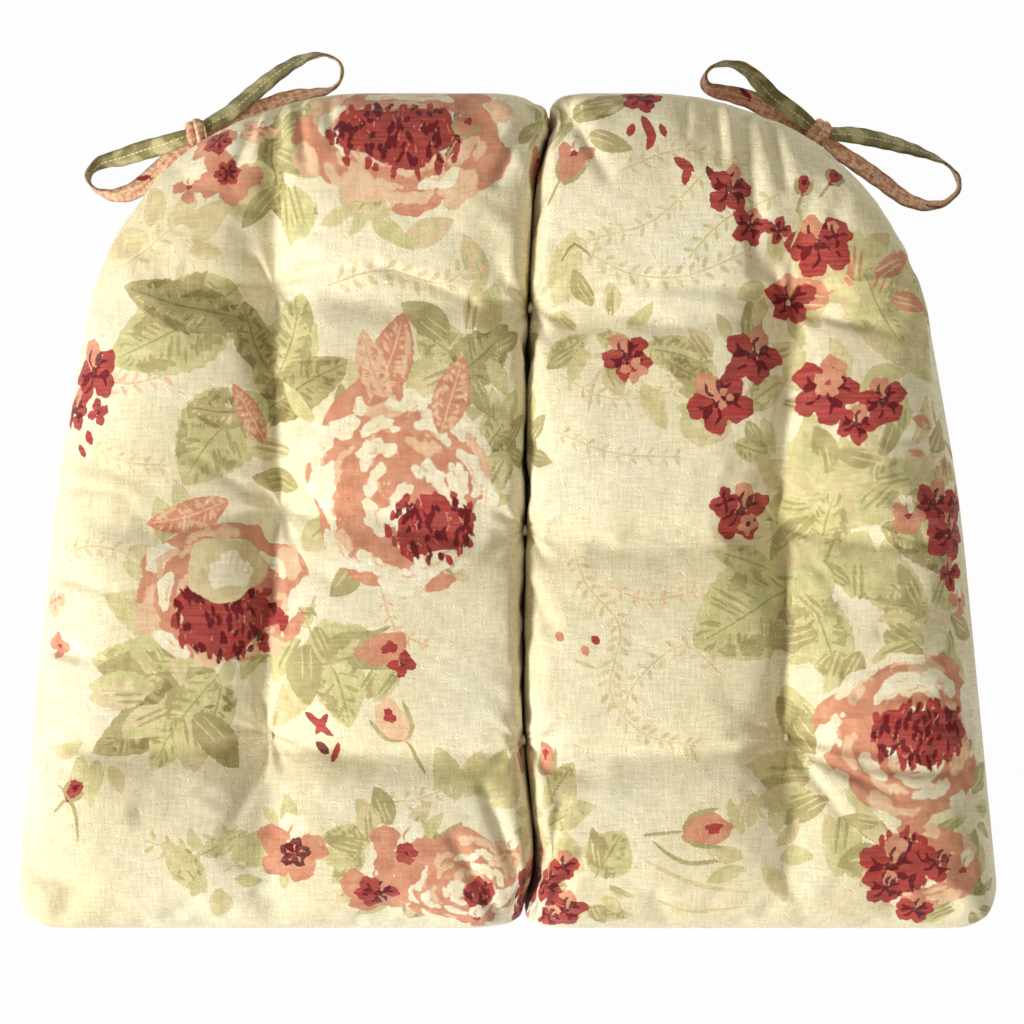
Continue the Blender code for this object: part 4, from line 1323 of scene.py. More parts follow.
    Blossom((108, -6), 5, SALMON, WINE),
    Blossom((200, -10), 13.5, RED, WINE, 5, 0.3),
    Blossom((192, 4), 10.5),
    Blossom((208, 4), 9.5),
    Blossom((178, -2), 8.5, SALMON, RED),
    Blossom((202, -28), 8, RED, WINE, 4),
    Blossom((208, -40), 8, SALMON, RED, 4),
    Stroke(((22, -54), (25, -58)), 2, SALMON),
    Stroke(((34, -60), (36, -64)), 1.8, SALMON),
    Stroke(((30, -66), (40, -70)), 0.9, TAN),
    Stroke(((38, -56), (41, -59)), 1.8, RED),
    Bud((78, -142), 20, 0.1),
    Blossom((170, -158), 14, RED, WINE, 5, 0.2),
    Blossom((168, -168), 9.5),
    Blossom((190, -156), 9.5),
    Blossom((182, -180), 9),
    Blossom((204, -160), 10, SALMON, RED),
    Bud((18, -118), 14, 1.8),
    Blossom((16, -166), 11, RED, WINE, 5, 0.2),
    Blossom((26, -180), 10.5),
    Blossom((18, -186), 9),
    Blossom((26, -158), 7.5, RED, WINE, 4),
)


# ---------------------------------------------------------------- finishes


def srgb(red: int, green: int, blue: int) -> Colour:
    """A colour as Blender keeps it, from the way it's usually written."""
    linear = [((c / 255 + 0.055) / 1.055) ** 2.4 if c > 10 else c / 3295 for c in (red, green, blue)]
    return (*linear, 1.0)


class Graph:
    """A material under construction."""

    def __init__(self, name: str, roughness: float) -> None:
        """Starts a material with its shader."""
        self.material = bpy.data.materials.new(name)
        self.material.use_nodes = True
        self.nodes = self.material.node_tree.nodes
        self.links = self.material.node_tree.links
        self.shader = self.nodes["Principled BSDF"]
        self.shader.inputs["Roughness"].default_value = roughness
        self.shader.inputs["Specular IOR Level"].default_value = 0.25

    def node(self, kind: str, **settings: object) -> Node:
        """Adds a node with these settings."""
        node = self.nodes.new(kind)
        for name, value in settings.items():
            setattr(node, name, value)
        return node

    def feed(self, socket: Socket, value: object) -> None:
        """Links a socket to another, or sets it."""
        if isinstance(value, bpy.types.NodeSocket):
            self.links.new(value, socket)
        else:
            socket.default_value = value

    def attribute(self, name: str, output: str = "Fac") -> Socket:
        """Reads one of the mesh's own attributes."""
        return self.node("ShaderNodeAttribute", attribute_name=name).outputs[output]

    def stretched(self, vector: Socket, scale: Spot) -> Socket:
        """Coordinates with each axis multiplied."""
        node = self.node("ShaderNodeVectorMath", operation="MULTIPLY")
        self.feed(node.inputs[0], vector)
        self.feed(node.inputs[1], scale)
        return node.outputs[0]

    def noise(self, vector: Socket, scale: float, detail: float = 2.0) -> Socket:
        """Noise between 0 and 1."""
        node = self.node("ShaderNodeTexNoise")
        self.feed(node.inputs["Vector"], vector)
        self.feed(node.inputs["Scale"], scale)
        self.feed(node.inputs["Detail"], detail)
        return node.outputs[0]

    def math(self, operation: str, a: object, b: object = 0.0) -> Socket:
        """One sum of two values."""
        node = self.node("ShaderNodeMath", operation=operation)
        self.feed(node.inputs[0], a)
        self.feed(node.inputs[1], b)
        return node.outputs[0]

    def ranged(
        self, value: Socket, low: float, high: float, to_low: float = 0.0, to_high: float = 1.0
    ) -> Socket:
        """The value's range stretched to another, and held there."""
        node = self.node("ShaderNodeMapRange")
        for socket, given in zip(node.inputs[:5], (value, low, high, to_low, to_high)):
            self.feed(socket, given)
        return node.outputs[0]

    def mix(self, share: object, a: object, b: object, blend_type: str = "MIX") -> Socket:
        """Two colours mixed."""
        node = self.node("ShaderNodeMix", data_type="RGBA", blend_type=blend_type)
        self.feed(node.inputs[0], share)
        self.feed(node.inputs[6], a)
        self.feed(node.inputs[7], b)
        return node.outputs[2]

    def raise_by(self, height: Socket, distance: float, strength: float = 1.0) -> None:
        """Bumps the surface."""
        node = self.node("ShaderNodeBump")
        self.feed(node.inputs["Height"], height)
        node.inputs["Distance"].default_value = distance
        node.inputs["Strength"].default_value = strength
        self.feed(self.shader.inputs["Normal"], node.outputs[0])

    def colour(self, value: Socket) -> None:
        """Colours the surface."""
        self.feed(self.shader.inputs["Base Color"], value)


@dataclass(frozen=True)
class Weave:
    """A plain weave with thick and thin yarns, on flat coordinates in metres."""

    pitch: float = 0.00100
    slub: float = 0.0080
    bump: float = 0.00014
    gap: Colour = (0.66, 0.62, 0.50, 1.0)
    crown: Colour = (1.16, 1.16, 1.15, 1.0)

    def yarns(self, graph: Graph, flat: Socket) -> Socket:
        """The yarns' height from 0 to 1."""
        parts = graph.node("ShaderNodeSeparateXYZ")
        graph.feed(parts.inputs[0], flat)
        wander = graph.math("MULTIPLY", graph.noise(flat, 260.0, 1.0), 3.0 * self.pitch)
        crossed = []
        for socket in parts.outputs[:2]:
            phase = graph.math("MULTIPLY", graph.math("ADD", socket, wander), 2 * math.pi / self.pitch)
            crossed.append(graph.math("SINE", phase))
        over = graph.math("MULTIPLY", crossed[0], crossed[1])
        warp = graph.noise(graph.stretched(flat, (0.8 / self.pitch, 1 / self.slub, 1.0)), 1.0, 1.0)
        weft = graph.noise(graph.stretched(flat, (1 / self.slub, 0.8 / self.pitch, 1.0)), 1.0, 1.0)
        slubs = graph.math("MULTIPLY", graph.math("ADD", warp, weft), 0.5)
        return graph.math("ADD", graph.math("MULTIPLY", over, 0.42), slubs)

    def tone(self, graph: Graph, yarns: Socket) -> Socket:
        """The yarns' own light and shade, to multiply a colour by."""
        return graph.mix(graph.ranged(yarns, 0.16, 0.84), self.gap, self.crown)


@dataclass(frozen=True)
class PrintedCloth:
    """Natural linen-look cotton with the painted print."""

    ground: Colour = srgb(242, 234, 208)
    shaded: Colour = srgb(232, 220, 182)
    edge: float = 0.16
    inks: tuple[tuple[Ink, tuple, tuple, float], ...] = (
        (TAN, srgb(224, 208, 162), srgb(210, 190, 140), 0.84),
        (SAGE, srgb(214, 208, 152), srgb(198, 192, 130), 0.90),
        (OLIVE, srgb(184, 172, 118), srgb(166, 154, 98), 0.92),
        (MOSS, srgb(158, 146, 94), srgb(138, 126, 76), 0.92),
        (SALMON, srgb(218, 148, 116), srgb(204, 124, 96), 0.92),
        (BLUSH, srgb(236, 198, 164), srgb(230, 182, 146), 0.88),
        (PETAL, srgb(246, 240, 218), srgb(242, 230, 200), 0.90),
        (RED, srgb(176, 36, 40), srgb(154, 24, 32), 0.97),
        (WINE, srgb(112, 16, 28), srgb(94, 12, 24), 0.98),
    )

    def material(self, weave: Weave) -> bpy.types.Material:
        """The cover's material."""
        graph = Graph("printed_linen", 0.86)
        flat = graph.attribute("flat", "Vector")
        yarns = weave.yarns(graph, flat)
        cloudy = graph.noise(flat, 14.0, 3.0)
        streaks = graph.noise(graph.stretched(flat, (55.0, 900.0, 1.0)), 1.0, 2.0)
        frayed = graph.noise(flat, 900.0, 2.0)
        colour = graph.mix(graph.ranged(cloudy, 0.35, 0.7), self.ground, self.shaded)
        fray = graph.math("MULTIPLY", graph.math("SUBTRACT", frayed, 0.5), 1.1)
        shade = graph.ranged(graph.noise(flat, 150.0, 3.0), 0.38, 0.62)
        for ink, light, dark, cover in self.inks:
            inside = graph.math("ADD", graph.attribute(ink.value), fray)
            solid = graph.ranged(inside, -self.edge, self.edge)
            dry = graph.ranged(streaks, 0.30, 0.62, cover - 0.09, cover)
            colour = graph.mix(graph.math("MULTIPLY", solid, dry), colour, graph.mix(shade, light, dark))
        graph.colour(graph.mix(1.0, colour, weave.tone(graph, yarns), "MULTIPLY"))
        graph.raise_by(yarns, weave.bump, 0.9)
        graph.shader.inputs["Sheen Weight"].default_value = 0.12
        graph.shader.inputs["Sheen Roughness"].default_value = 0.5
        return graph.material


@dataclass(frozen=True)
class StrapCloth:
    """The tie strap: cut across the print, folded and stitched along both edges."""

    sage: Colour = srgb(132, 124, 80)
    pale: Colour = srgb(192, 184, 138)
    pink: Colour = srgb(208, 142, 112)
    light_pink: Colour = srgb(236, 204, 172)
    red: Colour = srgb(140, 34, 40)
    stitch: Colour = srgb(236, 226, 192)
    dash: float = 0.0024

    def material(self, weave: Weave) -> bpy.types.Material:
        """The strap's material, on its own lengthwise coordinates, with painted shade along its folded edges.
        """
        graph = Graph("tie_cloth", 0.88)
        strap = graph.attribute("strap", "Vector")
        parts = graph.node("ShaderNodeSeparateXYZ")
        graph.feed(parts.inputs[0], strap)
        along, across, face = parts.outputs
        patches = graph.noise(strap, 90.0, 2.0)
        fine = graph.noise(strap, 420.0, 2.0)
        green = graph.mix(graph.ranged(patches, 0.46, 0.60), self.sage, self.pale)
        pinks = graph.mix(graph.ranged(fine, 0.40, 0.60), self.pink, self.light_pink)
        pinks = graph.mix(graph.ranged(patches, 0.60, 0.66), pinks, self.red)
        colour = graph.mix(graph.ranged(face, -0.0002, 0.0002), pinks, green)
        # painted shade: fold darkens the colour to 0.55 toward both folded edges, and the same ramp also
        # lowers the bump height there
        fold = graph.ranged(graph.math("ABSOLUTE", across), 0.0030, 0.0046, 1.0, 0.55)
        from_stitch = graph.math("ABSOLUTE", graph.math("SUBTRACT", across, 0.0004))
        row = graph.ranged(from_stitch, 0.00022, 0.00034, 1.0, 0.0)
        beat = graph.math("FRACT", graph.math("DIVIDE", along, self.dash))
        dashes = graph.math("MULTIPLY", row, graph.ranged(beat, 0.66, 0.74, 1.0, 0.0))
        colour = graph.mix(dashes, colour, self.stitch)
        yarns = weave.yarns(graph, strap)
        # the painted edge shade as a grey, multiplied into the weave's tone and then the colour
        shade = graph.node("ShaderNodeCombineColor")
        for socket in shade.inputs[:3]:
            graph.feed(socket, fold)
        tone = graph.mix(1.0, weave.tone(graph, yarns), shade.outputs[0], "MULTIPLY")
        graph.colour(graph.mix(1.0, colour, tone, "MULTIPLY"))
        height = graph.math("ADD", graph.math("MULTIPLY", yarns, 0.5), graph.math("MULTIPLY", dashes, 1.0))
        graph.raise_by(graph.math("ADD", height, fold), 0.0003, 0.8)
        graph.shader.inputs["Sheen Weight"].default_value = 0.12
        return graph.material


@dataclass(frozen=True)
class PlainFibre:
    """Undyed fibre, such as thread or wadding."""

    name: str
    light: Colour
    dark: Colour
    grain: float
    bump: float

    def material(self) -> bpy.types.Material:
        """The fibre's material."""
        graph = Graph(self.name, 0.9)
        place = graph.node("ShaderNodeTexCoord").outputs["Object"]
        grain = graph.noise(place, 1 / self.grain, 3.0)
        graph.colour(graph.mix(graph.ranged(grain, 0.35, 0.65), self.dark, self.light))
        graph.raise_by(grain, self.bump)
        graph.shader.inputs["Sheen Weight"].default_value = 0.2
        return graph.material


class Finishes:
    """All the pad's materials."""

    def __init__(self) -> None:
        """Makes them."""
        weave = Weave()
        self.cover = PrintedCloth().material(weave)
        self.tie = StrapCloth().material(weave)
        thread = PlainFibre("tuft_thread", srgb(244, 236, 206), srgb(224, 210, 168), 0.0012, 0.0002)
        batting = PlainFibre("polyester_batting", srgb(244, 243, 238), srgb(228, 226, 218), 0.004, 0.001)
        self.thread, self.batting = thread.material(), batting.material()


# ---------------------------------------------------------------- threads and ties


def tube(name: str, route: Array, radius: float, closed: bool = False, ends: float = 1.0) -> Object:
    """A round thread along a route, as a mesh.

    Args:
        name: The object's name.
        route: The thread's centreline.
        radius: Its radius.
        closed: Whether its end joins its start.
        ends: The share of the radius at its two ends.

    Returns:
        The thread.
    """
    curve = bpy.data.curves.new(name, "CURVE")
    curve.dimensions = "3D"
    curve.bevel_depth = radius
    curve.bevel_resolution = 3
    curve.use_fill_caps = not closed
    spline = curve.splines.new("POLY")
    spline.points.add(len(route) - 1)
    for i, (point, place) in enumerate(zip(spline.points, route)):
        point.co = (*place, 1.0)
        point.radius = 1.0 if 0 < i < len(route) - 1 else ends
    spline.use_cyclic_u = closed
    holder = bpy.data.objects.new(name, curve)
    bpy.context.scene.collection.objects.link(holder)
    mesh = bpy.data.meshes.new_from_object(holder.evaluated_get(bpy.context.evaluated_depsgraph_get()))
    bpy.data.objects.remove(holder, do_unlink=True)
    bpy.data.curves.remove(curve)
    obj = bpy.data.objects.new(name, mesh)
    bpy.context.scene.collection.objects.link(obj)
    return smooth(obj)


def joined(name: str, parts: list[Object]) -> Object:
    """One object made of several, which are removed."""
    bm = bmesh.new()
    for part in parts:
        bm.from_mesh(part.data)
        bpy.data.objects.remove(part, do_unlink=True)
    return smooth(link(name, bm))


@dataclass
class Tufts:
    """The tuft stitches: thread bars on both covers and the shank through the pad."""

    sizes: PadSizes
    length: float = 0.0044
    strands: int = 4
    strand_radius: float = 0.00034
    under_height: float = 0.0085
    rows: tuple[str, ...] = ("front", "middle", "back")

    def bar(self, place: Sequence[float], height: float, up: float) -> list[Object]:
        """Side by side strands that arch over the cover and dive into it at both ends."""
        strands = []
        for i in range(self.strands):
            off = (i - (self.strands - 1) / 2) * self.strand_radius * 1.35
            reach = self.length / 2 * (1.0 - 0.10 * ((i * 7) % 3))
            share = np.linspace(-1.0, 1.0, 13)
            arch = 0.0011 * np.cos(share * 1.35) ** 0.5 - 0.0021 * np.abs(share) ** 5
            rise = up * (arch + 0.0002 * (i % 2))
            sway = 0.00018 * np.sin(share * 2.6 + i)
            route = np.column_stack([
                place[0] + off * (1.0 - 0.35 * share**2) + sway, place[1] + share * reach, height + rise,
            ])
            strands.append(tube("strand", route, self.strand_radius))
        return strands

    def build(self, finishes: Finishes) -> list[Object]:
        """Makes all nine tufts."""
        s = self.sizes
        columns = (
            (Side.LEFT.word, "left_half", s.tufts(Side.LEFT)),
            ("centre", "left_half", s.centre_tufts()),
            (Side.RIGHT.word, "right_half", s.tufts(Side.RIGHT)),
        )
        made = []
        for word, body, places in columns:
            for place, row in zip(places, self.rows):
                name = f"tuft_{word}_{row}"
                low = s.crease_height - 0.0024 if word == "centre" else self.under_height
                heights = (low, (low + s.tuft_height) / 2, s.tuft_height)
                shank = np.array([(*place, height) for height in heights])
                parts = [*self.bar(place, s.tuft_height + 0.0010, 1.0), *self.bar(place, low, -1.0)]
                parts.append(tube("shank", shank, 0.0008))
                tuft = joined(f"{name}_visual", parts)
                tuft.data.materials.append(finishes.thread)
                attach(tuft, body)
                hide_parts(name)
                made.append(tuft)
        return made


@dataclass
class FoldStrip:
    """The strip of cover that joins the halves along the bottom of the crease."""

    sizes: PadSizes
    half_width: float = 0.0040
    thickness: float = 0.0009

    def build(self, printed: Print, finishes: Finishes) -> Object:
        """Makes the strip."""
        s = self.sizes
        bm = bmesh.new()
        bmesh.ops.create_grid(bm, x_segments=4, y_segments=120, size=0.5)
        ends = s.depth - 0.018
        for vert in bm.verts:
            share, y = vert.co.x * 2, vert.co.y * ends
            x = float(s.crease_x(np.array([y]))[0]) + share * self.half_width
            vert.co = (x, y, s.crease_height - 0.0012 * share**2)
        strip = link("fold_strip_visual", bm)
        PadHalf.store_flat(strip, places_of(strip.data)[:, :2])
        thick = strip.modifiers.new("thickness", "SOLIDIFY")
        thick.thickness = self.thickness
        smooth(baked(strip))
        printed.put_on(strip)
        strip.data.materials.append(finishes.cover)
        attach(strip, "left_half")
        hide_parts("fold_strip")
        return strip


@dataclass(frozen=True)
class Strap:
    """One length of tie strap: its route as rows of x, y, z and lean, in millimetres and degrees."""

    name: str
    route: tuple[Colour, ...]
    far_end: str
    on_bow: bool

    def mirrored(self, name: str) -> "Strap":
        """The same strap on the other side of the pad."""
        return replace(self, name=name, route=tuple((-x, y, z, lean) for x, y, z, lean in self.route))

    def rows(self) -> list[Colour]:
        """The route in metres and degrees."""
        return [(*metres((x, y, z)), lean) for x, y, z, lean in self.route]


LEFT_STRAPS = (
    Strap("long_loop", (
        (-133.5, 177.5, 22.5, 25), (-127, 181.5, 20, 25), (-116.5, 191.5, 15, 30),
        (-106, 201, 10.5, 40), (-95.5, 208, 7.5, 55), (-86, 210.5, 6.2, 75),
        (-78.5, 207.5, 6, 88), (-76.5, 202, 6, 92), (-80, 195.5, 6.3, 105),
        (-89, 192.5, 7.5, 125), (-100, 190.5, 9, 140), (-112.5, 185.3, 12.5, 150),
        (-124, 179.2, 16, 155), (-132, 173.5, 18, 155),
    ), "knot", True),
    Strap("short_loop", (
        (-151, 169, 23, 25), (-158, 167, 20, 25), (-168, 165, 15, 30),
        (-178, 162.5, 10.5, 45), (-187.5, 160.5, 7.5, 65), (-193.5, 155.5, 6.2, 85),
        (-192.5, 150, 6, 92), (-186.5, 146.2, 6.3, 105), (-179, 145.5, 7.2, 125),
        (-171, 148, 9, 140), (-162.5, 154, 12.5, 150), (-156, 159.5, 15.5, 155),
        (-150, 165, 17.5, 155),
    ), "knot", True),
    Strap("long_tail", (
        (-136.3, 173.5, 14, 10), (-133.8, 168, 8.5, 8), (-129, 165, 3.5, 4),
        (-120.3, 167.7, 1.1, 0), (-104.7, 174, 1.1, 0), (-84.2, 179.6, 1.1, 0),
        (-63, 181.5, 1.1, 0), (-45, 182, 1.1, 0), (-27, 182.5, 1.1, 0),
    ), "bare", False),
    Strap("short_tail", (
        (-145.5, 166.8, 14, 10), (-146.5, 160.8, 8.5, 8), (-148, 154, 3.5, 4),
        (-155.5, 140, 1.1, 0), (-168, 121, 1.1, 0), (-176.8, 101.7, 1.1, 0),
        (-182.5, 81.2, 1.1, 0), (-186.5, 63, 1.1, 0), (-190, 45, 1.1, 0),
    ), "bare", False),
)
RIGHT_STRAPS = (
    Strap("long_loop", (
        (151, 171.5, 23, 25), (158, 171.5, 20, 25), (168, 170.5, 15, 30),
        (179, 168.5, 10.5, 40), (190, 165.5, 7.8, 55), (201, 161, 6.3, 75),
        (207.5, 154.5, 6, 88), (208, 148, 6, 92), (202, 142.5, 6.3, 105),
        (193, 141, 7.2, 125), (183, 144, 8.8, 140), (172, 151.5, 12, 150),
        (161, 158.5, 15.5, 155), (151.5, 164.5, 17.5, 155),
    ), "knot", True),
    Strap("short_loop", (
        (134.5, 178.5, 23, 25), (129, 183, 20, 25), (121.5, 189.5, 15, 32),
        (116, 197, 10.5, 50), (109, 204, 7.5, 70), (101, 206.5, 6.2, 86),
        (93.5, 204.5, 6, 92), (90.5, 199, 6, 100), (93.5, 194.5, 6.4, 115),
        (103, 192, 8, 130), (113, 188.5, 10.5, 142), (123.5, 181, 15, 152),
        (132, 173.8, 18, 155),
    ), "knot", True),
    *(left.mirrored(name) for left, name in zip(LEFT_STRAPS[3:1:-1], ("long_tail", "short_tail"))),
)


@dataclass
class Bow:
    """One corner's ties: the sewn root, the knot, two loops and two tails."""

    side: Side
    straps: tuple[Strap, ...]
    knot: Spot
    knot_turn: float
    width: float = 0.0095
    thickness: float = 0.0012
    step: float = 0.0015
    pinch: float = 0.009
    knot_radii: Pair = (0.0034, 0.0034)

    def ribbon(self, name: str, route: Array, width: float, finishes: Finishes,
               pinched: Pair = (0.0, 0.0)) -> Object:
        """A flat strap along a route whose fourth column is its lean in degrees.

        Args:
            name: The strap's name.
            route: Its route.
            width: Its width.
            finishes: The materials.
            pinched: How much narrower it is at its start and its end.

        Returns:
            The strap.
        """
        bm = bmesh.new()
        across = 8
        bmesh.ops.create_grid(bm, x_segments=across, y_segments=len(route) - 1, size=0.5)
        ahead = np.gradient(route[:, :3], axis=0)
        ahead /= np.linalg.norm(ahead, axis=1, keepdims=True)
        up = np.array([0.0, 0.0, 1.0])
        lengths = np.concatenate([[0.0], np.cumsum(np.linalg.norm(np.diff(route[:, :3], axis=0), axis=1))])
        for vert in bm.verts:
            i, share = round((vert.co.y + 0.5) * (len(route) - 1)), vert.co.x * 2
            level = np.cross(ahead[i], up)
            level /= np.linalg.norm(level)
            lean = math.radians(route[i, 3])
            wide = level * math.cos(lean) - np.cross(level, ahead[i]) * -math.sin(lean)
            thick = np.cross(wide, ahead[i])
            crimp = 0.00022 * math.sin(lengths[i] * 700 + 2 * share) * abs(share) + 0.0004 * (1 - abs(share))
            here = 1 - pinched[0] * math.exp(-lengths[i] / self.pinch)
            here -= pinched[1] * math.exp((lengths[i] - lengths[-1]) / self.pinch)
            vert.co = Vector(route[i, :3] + wide * share * here * width / 2 + thick * crimp)
        obj = link(name, bm)
        solid = obj.modifiers.new("thickness", "SOLIDIFY")
        solid.thickness = self.thickness
        solid.offset = 0.0
        rounded = obj.modifiers.new("rounded", "BEVEL")
        rounded.width = self.thickness * 0.3
        rounded.segments = 2
        baked(obj)
        rows = self.strap_rows(places_of(obj.data), route, lengths, width)
        stored = obj.data.attributes.new("strap", "FLOAT_VECTOR", "POINT")
        stored.data.foreach_set("vector", rows.astype(np.float32).ravel())
        smooth(obj)
        obj.data.materials.append(finishes.tie)
        return obj

    @staticmethod
    def strap_rows(places: Array, route: Array, lengths: Array, width: float) -> Array:
        """Each point's place along and across the strap and above or below its middle.

        Args:
            places: The strap's points.
            route: The strap's route.
            lengths: The length along the route at each of its points.
            width: The strap's width.

        Returns:
            One row a point.
        """
        ahead = np.gradient(route[:, :3], axis=0)
        ahead /= np.linalg.norm(ahead, axis=1, keepdims=True)
        rows = np.zeros((len(places), 3))
        for start in range(0, len(places), 2000):
            block = places[start : start + 2000]
            apart = np.linalg.norm(block[:, None, :] - route[None, :, :3], axis=2)
            i = apart.argmin(axis=1)
            level = np.cross(ahead[i], [0.0, 0.0, 1.0])
            level /= np.linalg.norm(level, axis=1, keepdims=True)
            lean = np.radians(route[i, 3])[:, None]
            wide = level * np.cos(lean) + np.cross(level, ahead[i]) * np.sin(lean)
            thick = np.cross(wide, ahead[i])
            off = block - route[i, :3]
            rows[start : start + 2000, 0] = lengths[i] + (off * ahead[i]).sum(axis=1)
            rows[start : start + 2000, 1] = np.clip((off * wide).sum(axis=1), -width / 2, width / 2)
            rows[start : start + 2000, 2] = (off * thick).sum(axis=1)
        return rows

    def root(self, finishes: Finishes) -> Object:
        """The strap's sewn end, from inside the seam out to the knot."""
        word = self.side.word
        low, high = (np.array(corner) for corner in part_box(f"tie_root_{word}"))
        start = (low + high) / 2
        inward = start - np.array(self.knot)
        inward[2] = 0.0
        inward /= np.linalg.norm(inward)
        begin, end = start + inward * 0.0025, np.array(self.knot) + np.array([0.0, 0.0, 0.0010])
        rows = [(*(begin + (end - begin) * share), 0.0) for share in (0.0, 0.33, 0.66, 1.0)]
        root = self.ribbon(f"tie_root_{word}_visual", catmull(rows, self.step), self.width * 0.86, finishes)
        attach(root, f"{word}_half")
        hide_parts(f"tie_root_{word}")
        return root

    def wrap(self, finishes: Finishes) -> Object:
        """The knot: the strap wound once and a half round the loops' ends, pulled tight."""
        along = np.array([math.cos(self.knot_turn), math.sin(self.knot_turn), 0.0])
        side = np.array([-along[1], along[0], 0.0])
        up = np.array([0.0, 0.0, 1.0])
        bm = bmesh.new()
        rings, turns = 15, 48
        bmesh.ops.create_grid(bm, x_segments=rings, y_segments=turns, size=0.5)
        strap = []
        for vert in bm.verts:
            share, turn = vert.co.x * 2, (vert.co.y + 0.5) * 2.35 * math.pi
            spread = 0.0046 * share * (0.88 + 0.16 * math.cos(turn + 0.6))
            gather = 0.0006 * math.sin(share * 7.5 + 1.2 * math.sin(turn))
            gather += 0.0004 * math.sin(share * 15 + turn)
            swell_out = 0.0011 * (1 - share * share) + 0.00045 * turn / math.pi
            wide, high = self.knot_radii
            place = (
                side * math.cos(turn + 2.0) * (wide + swell_out + gather)
                + up * math.sin(turn + 2.0) * (high + swell_out + gather) * 0.90
                + along * (spread + 0.0007 * math.sin(turn * 1.5))
            )
            vert.co = Vector(np.array(self.knot) + place)
            strap.append((turn * 0.006 + 0.08, share * 0.0042, -0.0006))
        knot = link(f"tie_knot_{self.side.word}_visual", bm)
        stored = knot.data.attributes.new("strap", "FLOAT_VECTOR", "POINT")
        stored.data.foreach_set("vector", np.array(strap, np.float32).ravel())
        solid = knot.modifiers.new("thickness", "SOLIDIFY")
        solid.thickness = 0.0009
        solid.offset = -1.0
        baked(knot)
        smooth(subdivided(knot, 1))
        knot.data.materials.append(finishes.tie)
        word = self.side.word
        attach(knot, f"{word}_bow")
        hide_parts(f"tie_knot_{word}")
        return knot

    def from_knot(self, strap: Strap) -> list[Colour]:
        """The strap's route, with a loop's two ends carried on into the knot."""
        rows = strap.rows()
        if not strap.on_bow:
            return rows
        ends = []
        for (x, y, _, lean), lift in ((rows[0], 0.0012), (rows[-1], -0.0012)):
            share = 0.12
            ends.append((
                self.knot[0] + (x - self.knot[0]) * share, self.knot[1] + (y - self.knot[1]) * share,
                self.knot[2] + lift, lean,
            ))
        return [ends[0], *rows, ends[1]]

    def build(self, finishes: Finishes) -> list[Object]:
        """Makes this corner's ties."""
        word = self.side.word
        made = [self.root(finishes), self.wrap(finishes)]
        for strap in self.straps:
            node = f"tie_{strap.name}_{word}"
            route = catmull(self.from_knot(strap), self.step)
            pinched = (0.5, 0.5 if strap.on_bow else 0.0)
            obj = self.ribbon(f"{node}_visual", route, self.width, finishes, pinched)
            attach(obj, f"{word}_bow" if strap.on_bow else f"{word}_half")
            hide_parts(node)
            made.append(obj)
        return made


# ---------------------------------------------------------------- studio


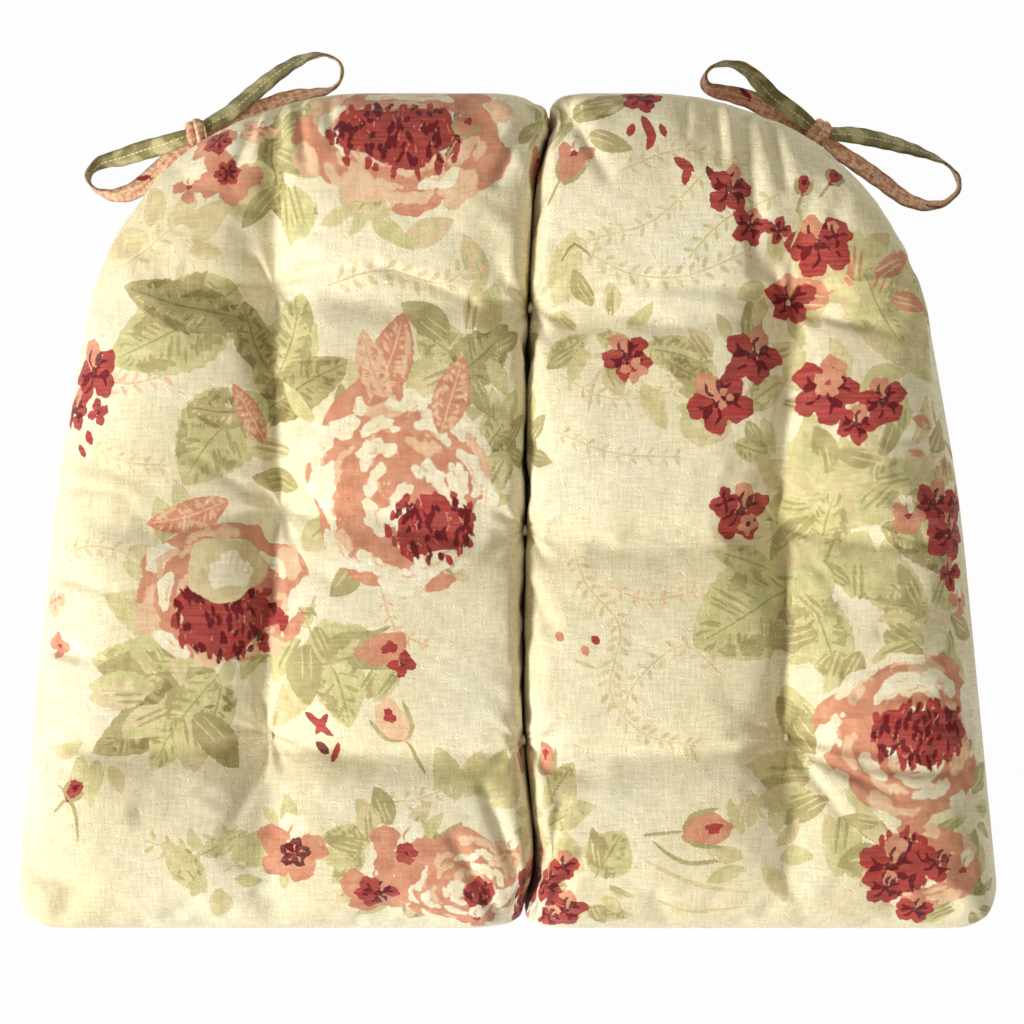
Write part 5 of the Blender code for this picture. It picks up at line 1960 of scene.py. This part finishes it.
@dataclass
class Studio:
    """The camera straight above, a pale floor and soft lights."""

    centre: Pair = (0.0020, -0.0006)
    height: float = 1.325
    lens: float = 100.4
    key_place: Spot = (-2.90, -1.30, 2.00)
    key_power: float = 178.0
    fill_place: Spot = (1.1, 0.7, 1.5)
    fill_power: float = 5.0
    world_strength: float = 0.34

    def camera(self) -> None:
        """Sets up the camera."""
        data = bpy.data.cameras.new("camera")
        data.lens = self.lens
        data.sensor_width = 36.0
        data.dof.use_dof = False
        camera = bpy.data.objects.new("camera", data)
        camera.location = (*self.centre, self.height)
        bpy.context.scene.collection.objects.link(camera)
        bpy.context.scene.camera = camera

    def light(self, name: str, place: Spot, size: float, power: float) -> None:
        """Adds a soft light aimed at the pad."""
        data = bpy.data.lights.new(name, "AREA")
        data.size = size
        data.energy = power
        lamp = bpy.data.objects.new(name, data)
        lamp.location = place
        lamp.rotation_euler = (Vector((0.0, 0.0, 0.03)) - Vector(place)).to_track_quat("-Z", "Y").to_euler()
        bpy.context.scene.collection.objects.link(lamp)

    def floor(self) -> None:
        """A pale floor that stays nearly white under the pad's shadow."""
        bm = bmesh.new()
        bmesh.ops.create_grid(bm, x_segments=1, y_segments=1, size=3.0)
        floor = link("floor", bm)
        floor.location.z = -0.0005
        material = bpy.data.materials.new("paper")
        material.use_nodes = True
        nodes, links = material.node_tree.nodes, material.node_tree.links
        glow, mixer = nodes.new("ShaderNodeEmission"), nodes.new("ShaderNodeMixShader")
        glow.inputs["Color"].default_value = (1.0, 1.0, 1.0, 1.0)
        glow.inputs["Strength"].default_value = 0.99
        mixer.inputs[0].default_value = 0.985
        links.new(nodes["Principled BSDF"].outputs[0], mixer.inputs[1])
        links.new(glow.outputs[0], mixer.inputs[2])
        links.new(mixer.outputs[0], nodes["Material Output"].inputs["Surface"])
        floor.data.materials.append(material)

    def build(self) -> None:
        """Sets the studio up."""
        self.camera()
        self.floor()
        self.light("key_light", self.key_place, 1.0, self.key_power)
        self.light("fill_light", self.fill_place, 1.2, self.fill_power)
        world = bpy.data.worlds.new("studio")
        world.use_nodes = True
        world.node_tree.nodes["Background"].inputs["Color"].default_value = (1.0, 0.96, 0.86, 1.0)
        world.node_tree.nodes["Background"].inputs["Strength"].default_value = self.world_strength
        bpy.context.scene.world = world
        bpy.context.scene.view_settings.view_transform = "Standard"
        bpy.context.scene.view_settings.look = "None"


def main() -> None:
    """Builds every piece in turn."""
    logging.basicConfig(level=logging.INFO, format="%(name)s: %(message)s")
    Studio().build()
    finishes = Finishes()
    pieces = []
    for side, straps in ((Side.LEFT, LEFT_STRAPS), (Side.RIGHT, RIGHT_STRAPS)):
        knot = (side.value * 0.1420, 0.1725, 0.0215)
        pieces += Bow(side, straps, knot, math.radians(-25 * side.value)).build(finishes)
    sizes = PadSizes.from_frame()
    printed = Print(MOTIFS)
    for side in Side:
        pieces += PadHalf(sizes, side).build(printed, finishes)
    pieces += Tufts(sizes).build(finishes)
    pieces.append(FoldStrip(sizes).build(printed, finishes))
    for piece in pieces:
        LOG.info("%s: %d faces", piece.name, len(piece.data.polygons))


if __name__ == "__main__":
    main()
